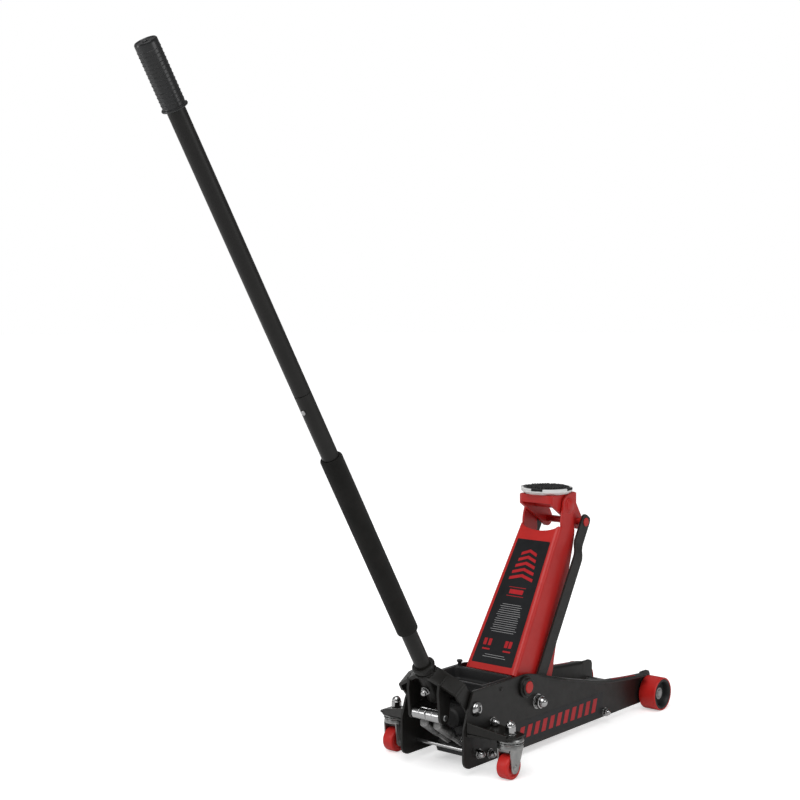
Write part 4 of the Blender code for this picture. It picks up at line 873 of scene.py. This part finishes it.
cone = node(tree, "GeometryNodeTransform", Geometry=cone.outputs["Mesh"], Scale=(0.97, 0.97, 1.0),
            Translation=xyz(tree, 0, 0, math(tree, "ADD", given["High"], 0.0012)))
ball = node(tree, "GeometryNodeMeshUVSphere", Segments=40, Rings=20, Radius=given["Dome"])
ball = node(tree, "GeometryNodeTransform", Geometry=ball.outputs["Mesh"], Scale=(1.0, 1.0, 1.12),
            Translation=xyz(tree, 0, 0, math(tree, "ADD", given["High"], 0.0020)))
nut = node(tree, "GeometryNodeJoinGeometry")
for shell in (washer, body, cone, ball):
    wire(tree, shell.outputs[0], nut.inputs[0])
nuts = node(tree, "GeometryNodeInstanceOnPoints", Points=points.outputs[0], Instance=nut.outputs[0],
            Rotation=(0.0, 0.0, 0.35))
acorn_nuts = close(nuts.outputs[0])


def marks(*points):
    """Mesh of loose points for a tree to build on."""
    mesh = bpy.data.meshes.new("points")
    mesh.from_pydata([tuple(p) for p in points], [], [])
    return mesh


def acorns(place, spots, across, high, dome, washer):
    """Chrome acorn nuts on points of a frame."""
    return grown(acorn_nuts, chrome, place, marks(*spots), Across=across, High=high, Dome=dome, Washer=washer)


# %% Nuts on the side plates and castors
REAR_ROD, NOSE_ROD = (0.048, 0.040), (0.508, 0.026)
for word, side in SIDES.items():
    wall = along_y((0, side * PLATE_OUT, 0), side)
    inside = wall.inverted()
    seats = [inside @ spot(x, side * PLATE_OUT, z) for x,
             z in (REAR_ROD, (0.085, 0.032), (0.094, 0.094), NOSE_ROD)]
    plate_nuts = acorns(wall, seats[:3], 0.0090, 0.0050, 0.0076, 0.0100)
    finish(f"plate_nuts_{word}", plate_nuts, chrome, "chassis", edge=0.0003)
    nose_nut = acorns(wall, seats[3:], 0.0086, 0.0062, 0.0066, 0.0098)
    finish(f"nose_nut_{word}", nose_nut, chrome, "chassis", edge=0.0003)
    link_seat = LOW_LINK + Vector((0, side * PLATE_OUT, 0))
    big = acorns(wall, [inside @ link_seat], 0.0140, 0.0098, 0.0112, 0.0158)
    shank = turned([(0, -0.0122), (0.008, -0.0122), (0.008, 0.001), (0, 0.001)], along_y(link_seat, side))
    finish(f"link_nut_{word}", joined(big, shank), chrome, "chassis", f"link_bolt_{word}", edge=0.0004)
    centre = Matrix.Translation(spot(CASTOR_X, side * CASTOR_OUT, 0))
    stud = acorns(centre @ Matrix.Translation((0, 0, 0.0871)), [(0, 0, 0)], 0.0106, 0.0150, 0.0095, 0.0124)
    post = turned([(0, 0.0621), (0.006, 0.0621), (0.006, 0.088), (0, 0.088)], centre)
    finish(f"castor_nut_{word}", joined(stud, post), chrome, "chassis", f"castor_stud_{word}", edge=0.0004)

# %% Plug welds, screw heads and a stop peg
for word, side in SIDES.items():
    bumps = []
    for x, z, wide, high in ((0.031, 0.049, 0.0075, 0.0012), (0.123, 0.155, 0.0050, 0.0022)):
        dome = [(0, -0.0006), (wide, -0.0006), (wide * 0.92, high * 0.4), (wide * 0.6, high * 0.85), (0, high)]
        bumps.append(turned(dome, along_y(spot(x, side * PLATE_OUT, z), side), 32))
    finish(f"plate_bumps_{word}", joined(*bumps), black_coat, "chassis")
peg = [(0, 0.1640), (0.0040, 0.1640), (0.0040, 0.1760), (0.0062, 0.1770), (0.0062, 0.1800), (0.0050, 0.1812),
       (0, 0.1812)]
finish("arm_stop_peg", turned(peg, Matrix.Translation(spot(0.181, 0.0700, 0)), 28), black_moulding, "chassis")

# %% Cross rods between the plates
for name, (x, z), thick, cad in (("rear_spacer_rod", REAR_ROD, 0.0045, "rear_tie_rod"),
                                 ("nose_spacer_rod", NOSE_ROD, 0.0080, "front_tie_rod")):
    finish(name, turned(chamfered(thick, 0.0757, 0.0006), along_y(spot(x, 0, z)), 40), chrome, "chassis", cad,
           edge=0.0002)

# %% Button-head pivot bolts
def button_bolt(place):
    """Low domed head with a six-sided socket, on its shank."""
    head = [(0, -0.0190), (0.0098, -0.0190), (0.0098, 0.0003), (0.0146, 0.0003), (0.0148, 0.0020)]
    head += [(0.0146 * cos(t), 0.0022 + 0.0068 * sin(t)) for t in [k * pi / 16 for k in range(1, 6)]]
    head += [(0.0062, 0.0084), (0.0056, 0.0080), (0.0054, 0.0030), (0, 0.0022)]
    solid = bmesh.new()
    solid.from_mesh(turned(head, None, 72))
    for vert in solid.verts:
        radius = hypot(vert.co.x, vert.co.y)
        if 0.005 < radius < 0.0063 and vert.co.z > 0:
            angle = (atan2(vert.co.y, vert.co.x) + pi / 6) % (pi / 3) - pi / 6
            vert.co.xy *= 0.90 / cos(angle)
    return mesh_of(solid, place)


for word, side in SIDES.items():
    finish(f"handle_pivot_bolt_{word}",
           button_bolt(along_y(HANDLE.translation + Vector((0, side * PLATE_OUT, 0)), side)),
           chrome, "chassis", f"pivot_bolt_{word}", edge=0.0003)
    collar = [(0.0128, 0.0003), (0.0225, 0.0003), (0.0225, 0.0048), (0.0212, 0.0060), (0.0186, 0.0062),
              (0.0180, 0.0095),
              (0.0168, 0.0105), (0.0128, 0.0105)]
    finish(f"shaft_collar_{word}",
           turned(collar, along_y(SHAFT + Vector((0, side * PLATE_OUT, 0)), side), 64, ring=True),
           black_coat, "chassis", f"shaft_boss_{word}", edge=0.0004)

# %% [markdown]
# ## Handle yoke and rollers
#
# The yoke is a socket for the handle welded to a bent strap, whose wings drop to the two pivot bolts, with two
# lugs that carry the rollers. It is fabricated from flat steel, so it keeps its CAD shape with the edges eased,
# and gets what a fabricator adds: a rolled lip at the socket's mouth and weld beads where the lugs meet it.
# A weld bead is a row of overlapping puddles, so a tree lays balls of slightly varied size along a line.

# %% Socket, strap and lugs
finish("yoke_weldment", copied("handle_yoke"), black_coat, "yoke", "handle_yoke", edge=0.0012, steps=3)
mouth = [(0.0166, 0.1040), (0.0205, 0.1040), (0.0228, 0.1058), (0.0236, 0.1085), (0.0230, 0.1112),
         (0.0212, 0.1129),
         (0.0190, 0.1131), (0.0172, 0.1122), (0.0166, 0.1105)]
finish("socket_rolled_lip", turned(mouth, TUBE, 64, ring=True), black_coat, "yoke")

# %% Tree for a weld bead along a line
tree, given, close = rule("weld_bead", Pitch=0.0016, Size=0.0024, Seed=3)
points = node(tree, "GeometryNodeCurveToPoints",
              Curve=node(tree, "GeometryNodeMeshToCurve", Mesh=given["Geometry"]).outputs[0],
              mode="LENGTH", Length=given["Pitch"])
puddle = node(tree, "GeometryNodeMeshIcoSphere", Radius=given["Size"], Subdivisions=2)
vary = node(tree, "FunctionNodeRandomValue", data_type="FLOAT", Seed=given["Seed"])
vary.inputs[2].default_value, vary.inputs[3].default_value = 0.85, 1.15
puddles = node(tree, "GeometryNodeInstanceOnPoints", Points=points.outputs[0], Instance=puddle.outputs["Mesh"],
               Scale=vary.outputs[1])
weld_bead = close(puddles.outputs[0])


def run_of(points, loop=False):
    """Mesh of points joined by edges, for a tree to follow."""
    mesh = bpy.data.meshes.new("run")
    ends = [(k, (k + 1) % len(points)) for k in range(len(points) - (0 if loop else 1))]
    mesh.from_pydata([tuple(p) for p in points], ends, [])
    return mesh


beads = []
for side in SIDES.values():
    for face in (0.0348, 0.0412):
        beads.append(grown(weld_bead, black_coat, HANDLE,
                           run_of([(-0.0255, side * face, 0.0795), (-0.0045, side * face, 0.0795)])))
BEAD_R = 0.0202                                 # weld round the socket, left out at its two sides
turns = [2 * pi * k / 40 for k in range(40)]
around = [(BEAD_R * cos(t), BEAD_R * sin(t), 0.0945) for t in turns if abs(cos(t)) > 0.25]
for half in (1, -1):
    row = [p for p in around if p[0] * half > 0]
    row.sort(key=lambda p: p[1])
    beads.append(grown(weld_bead, black_coat, TUBE, run_of(row)))
finish("yoke_weld_beads", joined(*beads), black_coat, "yoke")

# %% Rollers, their pin, and the bolt behind the socket
ROLLER = HANDLE @ Vector((-0.0503, 0, 0.0136))
for word, side in SIDES.items():
    tyre = [(0.0053, 0.0004), (0.0112, 0.0004), (0.0125, 0.0018), (0.0125, 0.0150), (0.0119, 0.0156),
            (0.0119, 0.0170),
            (0.0125, 0.0176), (0.0125, 0.0330), (0.0113, 0.0346), (0.0053, 0.0346)]
    finish(f"lift_roller_{word}", turned(tyre, along_y(ROLLER, side), 56, ring=True), chrome, f"roller_{word}",
           f"pump_roller_{word}", edge=0.0002)
pin = [(0, -0.0442), (0.0050, -0.0442), (0.0064, -0.0432), (0.0064, -0.0413), (0.005, -0.0413), (0.005, 0.0413),
       (0.0064, 0.0413), (0.0064, 0.0424), (0.0055, 0.0428), (0, 0.0428)]
finish("roller_cross_pin", turned(pin, along_y(ROLLER), 32), zinc, "yoke", "roller_pin", edge=0.0003)
BEHIND = TUBE @ Matrix.Translation((0, 0, 0.0608)) @ Matrix.Rotation(-pi / 2, 4, "Y")
bolt = [(0, 0.0168), (0.005, 0.0168), (0.005, 0.0218), (0.0, 0.0218)]
head = acorns(BEHIND @ Matrix.Translation((0, 0, 0.0204)), [(0, 0, 0)], 0.0082, 0.0048, 0.0064, 0.0090)
finish("socket_screw", joined(turned(bolt, BEHIND, 24), head), chrome, "yoke", "socket_bolt", edge=0.0003)

# %% [markdown]
# ## Handle
#
# Two lengths of painted tube meet at a spring button. The lower one wears a foam sleeve that saves the car's
# paint, the upper one a ribbed vinyl grip. Tubes and sleeves are turned shapes; the grip's ribs are one ring
# repeated along the axis, which is a rule.

# %% Tubes and button
TUBE_R, JOINT = 0.0161, 0.7607
low = [(0.0136, 0.0315), (TUBE_R, 0.0315), (TUBE_R, JOINT - 0.0012), (TUBE_R - 0.0008, JOINT - 0.0003),
       (0.0136, JOINT - 0.0003)]
finish("lower_tube", turned(low, TUBE, 56, ring=True), black_coat, "handle", "handle_lower_tube", edge=0.0003)
top = [(0.0113, JOINT - 0.060), (0.0133, JOINT - 0.058), (0.0133, JOINT + 0.0003),
       (TUBE_R - 0.0008, JOINT + 0.0003),
       (TUBE_R, JOINT + 0.0012), (TUBE_R, 1.430), (0.0113, 1.430)]
finish("upper_tube", turned(top, TUBE, 56, ring=True), black_coat, "handle", "handle_upper_tube", edge=0.0003)
BUTTON = TUBE @ Matrix.Translation((0, 0, JOINT - 0.032)) @ Matrix.Rotation(-pi / 2, 4, "Y")
cap = [(0, 0.006), (0.0049, 0.006),
       (0.0049, 0.0170)] + [(0.0049 * cos(t), 0.0170 + 0.0017 * sin(t)) for t in (0.35, 0.7, 1.05,
                                                                                  1.35)] + [(0, 0.0187)]
finish("spring_button", turned(cap, BUTTON, 32), chrome, "button", "snap_button")
rim = [(0.0052, 0.0150), (0.0060, 0.0150), (0.0060, 0.01625), (0.0052, 0.0160)]
finish("button_hole_rim", turned(rim, BUTTON, 32, ring=True), black_coat, "handle")

# %% Foam sleeve
sleeve = [(0.0164, 0.2006), (0.0186, 0.2000)] + arc((0.0178, 0.2037), 0.0037, -80, 0, 5)
sleeve += [(0.0215, 0.2037 + (0.6153 - 0.2037) * k / 24) for k in range(1, 24)]
sleeve += arc((0.0178, 0.6153), 0.0037, 0, 80, 5) + [(0.0186, 0.6190), (0.0164, 0.6184)]
finish("foam_guard", turned(sleeve, TUBE, 64, ring=True), foam, "handle", "foam_sleeve")

# %% Tree for rings along an axis
tree, given, close = rule("rings", Count=14, Pitch=0.0068, Radius=0.0200, Thick=0.0011)
points = node(tree, "GeometryNodeMeshLine", Count=given["Count"], Offset=xyz(tree, 0, 0, given["Pitch"]))
hoop = node(tree, "GeometryNodeCurvePrimitiveCircle", Resolution=48, Radius=given["Radius"])
bead = node(tree, "GeometryNodeCurvePrimitiveCircle", Resolution=10, Radius=given["Thick"])
hoop = node(tree, "GeometryNodeCurveToMesh", Curve=hoop.outputs["Curve"])
wire(tree, bead.outputs["Curve"], hoop.inputs["Profile Curve"])
hoops = node(tree, "GeometryNodeInstanceOnPoints", Points=points.outputs[0], Instance=hoop.outputs[0])
rings = close(hoops.outputs[0])

# %% Grip
body = [(0.0163, 1.3185), (0.0205, 1.3180), (0.0224, 1.3190), (0.0230, 1.3205), (0.0224, 1.3222), (0.0206, 1.3232),
        (0.0199, 1.3250), (0.0199, 1.4320), (0.0196, 1.4345), (0.0182, 1.4362), (0.0160, 1.4364), (0.0150, 1.4352),
        (0.0060, 1.4350), (0.0052, 1.4340), (0.0052, 1.4312), (0, 1.4308), (0, 1.4302), (0.0163, 1.4302)]
grip = [turned(body, TUBE, 56, ring=True),
        grown(rings, grip_vinyl, TUBE @ Matrix.Translation((0, 0, 1.3300)), Count=14, Pitch=0.0070,
              Radius=0.0197, Thick=0.0009)]
finish("ribbed_grip", joined(*grip), grip_vinyl, "handle", "handle_grip")

# %% [markdown]
# ## Pumps, ram and tray
#
# Under the rollers stand two pump caps on coil springs; pressing one pushes its plunger into the cast block. The
# springs are a wire swept along a helix: a Screw modifier could turn them, but a tree with the number of turns
# and the wire's size as inputs gives closed ends as well. The tray over the block is a moulding with a wide soft
# rim, skinned through a few rounded rectangles.

# %% Tree for a coil spring
tree, given, close = rule("coil_spring", Turns=8.0, Radius=0.0076, Wire=0.0011, Length=0.060)
helix = node(tree, "GeometryNodeCurveSpiral", Resolution=24, Rotations=given["Turns"],
             Start_Radius=given["Radius"],
             End_Radius=given["Radius"], Height=given["Length"])
round_wire = node(tree, "GeometryNodeCurvePrimitiveCircle", Resolution=8, Radius=given["Wire"])
coil = node(tree, "GeometryNodeCurveToMesh", Curve=helix.outputs[0], Fill_Caps=True)
wire(tree, round_wire.outputs["Curve"], coil.inputs["Profile Curve"])
coil_spring = close(coil.outputs[0])

# %% Pump caps, springs and release spindle
CAP_REACH, PUMP_OUT = 0.100771, 0.017


def down_pump(out=0.0):
    """Frame whose Z runs forward and down along a pump, at a distance from the middle plane."""
    lean = Vector((0, 0, 1)).rotation_difference(PUMP_DIR)
    return Matrix.Translation(PUMP_MOUTH + Vector((0, out, 0))) @ lean.to_matrix().to_4x4()


for word, side in SIDES.items():
    pump = down_pump(side * PUMP_OUT)
    top = -CAP_REACH
    cap = [(0, top), (0.0088, top), (0.0110, top + 0.0024), (0.0110, top + 0.0460), (0.0107, top + 0.0466),
           (0.0107, top + 0.0540),
           (0.0094, top + 0.0540), (0.0094, top + 0.0050), (0.0050, top + 0.0050), (0.0050, 0.0010), (0, 0.0010)]
    finish(f"pump_cap_{word}", turned(cap, pump, 48), machined, f"pump_{word}", f"pump_piston_{word}", edge=0.0002)
    coil = grown(coil_spring, machined, pump @ Matrix.Translation((0, 0, -0.0602)), Turns=11.0, Radius=0.0079,
                 Wire=0.0012, Length=0.0590)
    finish(f"return_spring_{word}", coil, machined, "chassis", f"pump_spring_{word}")
spindle = [(0, -0.0300), (0.0030, -0.0300), (0.0055, -0.0284), (0.0055, -0.0200), (0.0040, -0.0190),
           (0.0040, 0.0140), (0, 0.0140)]
finish("valve_spindle", turned(spindle, down_pump(), 32), machined, "release", "release_spindle", edge=0.0003)

# %% Block, cylinder and ram
finish("pump_block", copied("hydraulic_block"), cast_iron, "chassis", "hydraulic_block", edge=0.0016, steps=3)
RAM = Matrix.Translation(spot(0, 0, 0.094)) @ Matrix.Rotation(pi / 2, 4, "Y")
barrel = [(0, 0.058), (0.0170, 0.058), (0.0210, 0.062), (0.0210, 0.143), (0.0196, 0.148), (0.0134, 0.148),
          (0.0134, 0.063), (0, 0.063)]
finish("ram_barrel", turned(barrel, RAM, 64), cast_iron, "chassis", "ram_cylinder", edge=0.0006)
box_low, box_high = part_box("ram_rod")
low, high = box_low[0] - REAR, box_high[0] - REAR
rod = [(0, low), (0.0130, low), (0.0130, high - 0.001), (0.0120, high), (0, high)]
finish("ram_piston_rod", turned(rod, RAM, 56), chrome, "ram", "ram_rod", edge=0.0003)
finish("ram_fork", copied("ram_head"), cast_iron, "ram", "ram_head", edge=0.0014, steps=3)

# %% Tray
def rounded_rectangle(x0, x1, half, radius, z, steps=8):
    """Loop of points round a rectangle with round corners, at one height."""
    loop = []
    for cx, cy, start in ((x1 - radius, half - radius, 0), (x0 + radius, half - radius, 90),
                          (x0 + radius, -half + radius, 180), (x1 - radius, -half + radius, 270)):
        loop += [(REAR + x, y, z) for x, y in arc((cx, cy), radius, start, start + 90, steps)]
    return loop


levels = [(0.0100, 0.1425), (0.0032, 0.1425), (0.0012, 0.1432), (0.0004, 0.1450), (0.0002, 0.1680),
          (0.0008, 0.1696),
          (0.0022, 0.1704), (0.0050, 0.1705), (0.0072, 0.1702), (0.0084, 0.1690), (0.0090, 0.1670),
          (0.0094, 0.1520),
          (0.0100, 0.1478), (0.0120, 0.1456), (0.0160, 0.1450)]
loops = [rounded_rectangle(0.072 + inset, 0.176 - inset, 0.0757 - inset, max(0.004, 0.012 - inset * 0.3),
                           z) for inset, z in levels]
finish("parts_tray", skinned(loops), black_moulding, "chassis", "tool_tray", edge=0.0003)

# %% [markdown]
# ## Labels
#
# The arm carries a black film with printed marks, and the chassis has striped films on its side and nose. The
# marks here are plain: arrows that say "lifts", rows of bars, stripes. They could be drawn in the paint's nodes,
# but a film is a real thin layer with an edge, so each is a sheet of geometry a fifth of a millimetre thick. One
# tree stacks any shape at a pitch, each copy a little larger or smaller, and it makes every row of marks.

# %% Tree for a stack of one shape
tree, given, close = rule("stack", Count=4, Pitch=0.014, Grow=0.0, Ragged=0.0, Seed=5)
points = node(tree, "GeometryNodeMeshLine", Count=given["Count"], Offset=xyz(tree, given["Pitch"], 0, 0))
index = node(tree, "GeometryNodeInputIndex").outputs[0]
size = math(tree, "ADD", 1.0, math(tree, "MULTIPLY", index, given["Grow"]))
vary = node(tree, "FunctionNodeRandomValue", data_type="FLOAT", Seed=given["Seed"])
wire(tree, math(tree, "SUBTRACT", 1.0, given["Ragged"]), vary.inputs[2])
vary.inputs[3].default_value = 1.0
copies = node(tree, "GeometryNodeInstanceOnPoints", Points=points.outputs[0], Instance=given["Geometry"],
              Scale=xyz(tree, 1.0, math(tree, "MULTIPLY", size, vary.outputs[1]), 1.0))
stack = close(copies.outputs[0])


FILM = 0.00018                                  # thickness of a film


def film(outline):
    """Thin sheet cut to an outline of (x, y)."""
    return pushed(outline, 0.0, FILM, axis="Z")


def bar_outline(long, half):
    """Outline of a bar that lies across the axis."""
    return [(0, -half), (long, -half), (long, half), (0, half)]


def printed(colour, ink, place, outline, **sizes):
    """Row of marks in one colour, at a place on a film."""
    return grown(stack, colour, ink @ Matrix.Translation(place), film(outline), **sizes)


def round_corners(points, radius, steps=5):
    """Outline with each corner replaced by an arc."""
    line = []
    for k, (x, y) in enumerate(points):
        here = Vector((x, y))
        before, after = Vector(points[k - 1]) - here, Vector(points[(k + 1) % len(points)]) - here
        first, last = here + before.normalized() * radius, here + after.normalized() * radius
        for j in range(steps + 1):
            t = j / steps
            line.append(tuple((1 - t) ** 2 * first + 2 * t * (1 - t) * here + t * t * last))
    return line


# %% Black film on the arm
SLOPE = atan2(FACE_LOW[1] - FACE_TOP[1], FACE_TOP[0] - FACE_LOW[0])
FACE = ARM @ Matrix.Translation((0, 0, front_at(0) + 0.00012)) @ Matrix.Rotation(SLOPE, 4, "Y")
corners = [(0.026, -half_at(0.026) + 0.0125), (0.312, -half_at(0.312) + 0.0115), (0.312, half_at(0.312) - 0.0115),
           (0.026, half_at(0.026) - 0.0125)]
panel = film(round_corners(corners, 0.0025))
panel.transform(FACE)
finish("arm_label_film", panel, label_black, "arm")
INK = FACE @ Matrix.Translation((0, 0, FILM))

# %% Arrows, rules and blocks on the film
arrow = [(0, 0), (-0.0085, -0.0300), (-0.0155, -0.0300), (-0.0070, 0), (-0.0155, 0.0300), (-0.0085, 0.0300)]
block = round_corners(bar_outline(0.0100, 0.0175), 0.0015)
post = round_corners(bar_outline(0.0150, 0.0040), 0.0010)
parts = [printed(label_red, INK, (0.232, 0, 0), arrow, Count=5, Pitch=0.0145, Grow=-0.085),
         printed(label_red, INK, (0.1800, 0, 0), bar_outline(0.0012, 0.0215), Count=2, Pitch=0.0200),
         printed(label_red, INK, (0.1856, 0, 0), block, Count=1)]
parts += [printed(label_red, INK, (0.066, y, 0), post, Count=1) for y in (-0.030, -0.020, 0.022, 0.034)]
parts += [printed(label_red, INK, (0.056, y, 0), bar_outline(0.0035, 0.0095), Count=1) for y in (-0.026, 0.027)]
finish("arm_label_red_marks", joined(*parts), label_red, "arm")
line = bar_outline(0.0009, 0.0330)
rows = [printed(label_grey, INK, (0.098, 0, 0), line, Count=14, Pitch=0.0048, Ragged=0.30),
        printed(label_grey, INK, (0.0410, 0, 0), line, Count=2, Pitch=0.0048, Ragged=0.25, Seed=9)]
finish("arm_label_grey_rules", joined(*rows), label_grey, "arm")

# %% Striped films on the plates and the nose
for word, side in SIDES.items():
    wall = Matrix.Translation(spot(0, side * (PLATE_OUT + 0.0001), 0)) @ Matrix.Rotation(pi / 2, 4, "X")
    if side > 0:
        wall = wall @ Matrix.Scale(-1, 4, (0, 0, 1))
    sheet = film(round_corners([(0.168, 0.024), (0.498, 0.024), (0.500, 0.073), (0.170, 0.073)], 0.0025))
    sheet.transform(wall)
    slant = [(0, -0.012), (0.0150, -0.012), (0.0240, 0.012), (0.0090, 0.012)]
    bars = printed(label_red, wall, (0.182, 0.0485, FILM), slant, Count=11, Pitch=0.0272, Grow=0.022)
    if side > 0:
        sheet.flip_normals()
        bars.flip_normals()
    finish(f"side_film_{word}", sheet, label_black, "chassis")
    finish(f"side_stripes_{word}", bars, label_red, "chassis")
    low, high = 0.520, 0.628
    fall = atan2(smooth_height(low) - smooth_height(high), high - low)
    nose = Matrix.Translation(spot(low, side * 0.0905, smooth_height(low) - droop_at(low) * 0.45 + 0.0006))
    nose = nose @ Matrix.Rotation(fall, 4, "Y") @ Matrix.Rotation(-side * atan2(droop_at(low), FLANGE), 4, "X")
    slant = [(0, -0.0042), (0.0050, -0.0042), (0.0080, 0.0042), (0.0030, 0.0042)]
    nose_bars = printed(label_red, nose, (0, 0, 0), slant, Count=10, Pitch=0.0100)
    finish(f"nose_stripes_{word}", nose_bars, label_red, "chassis")
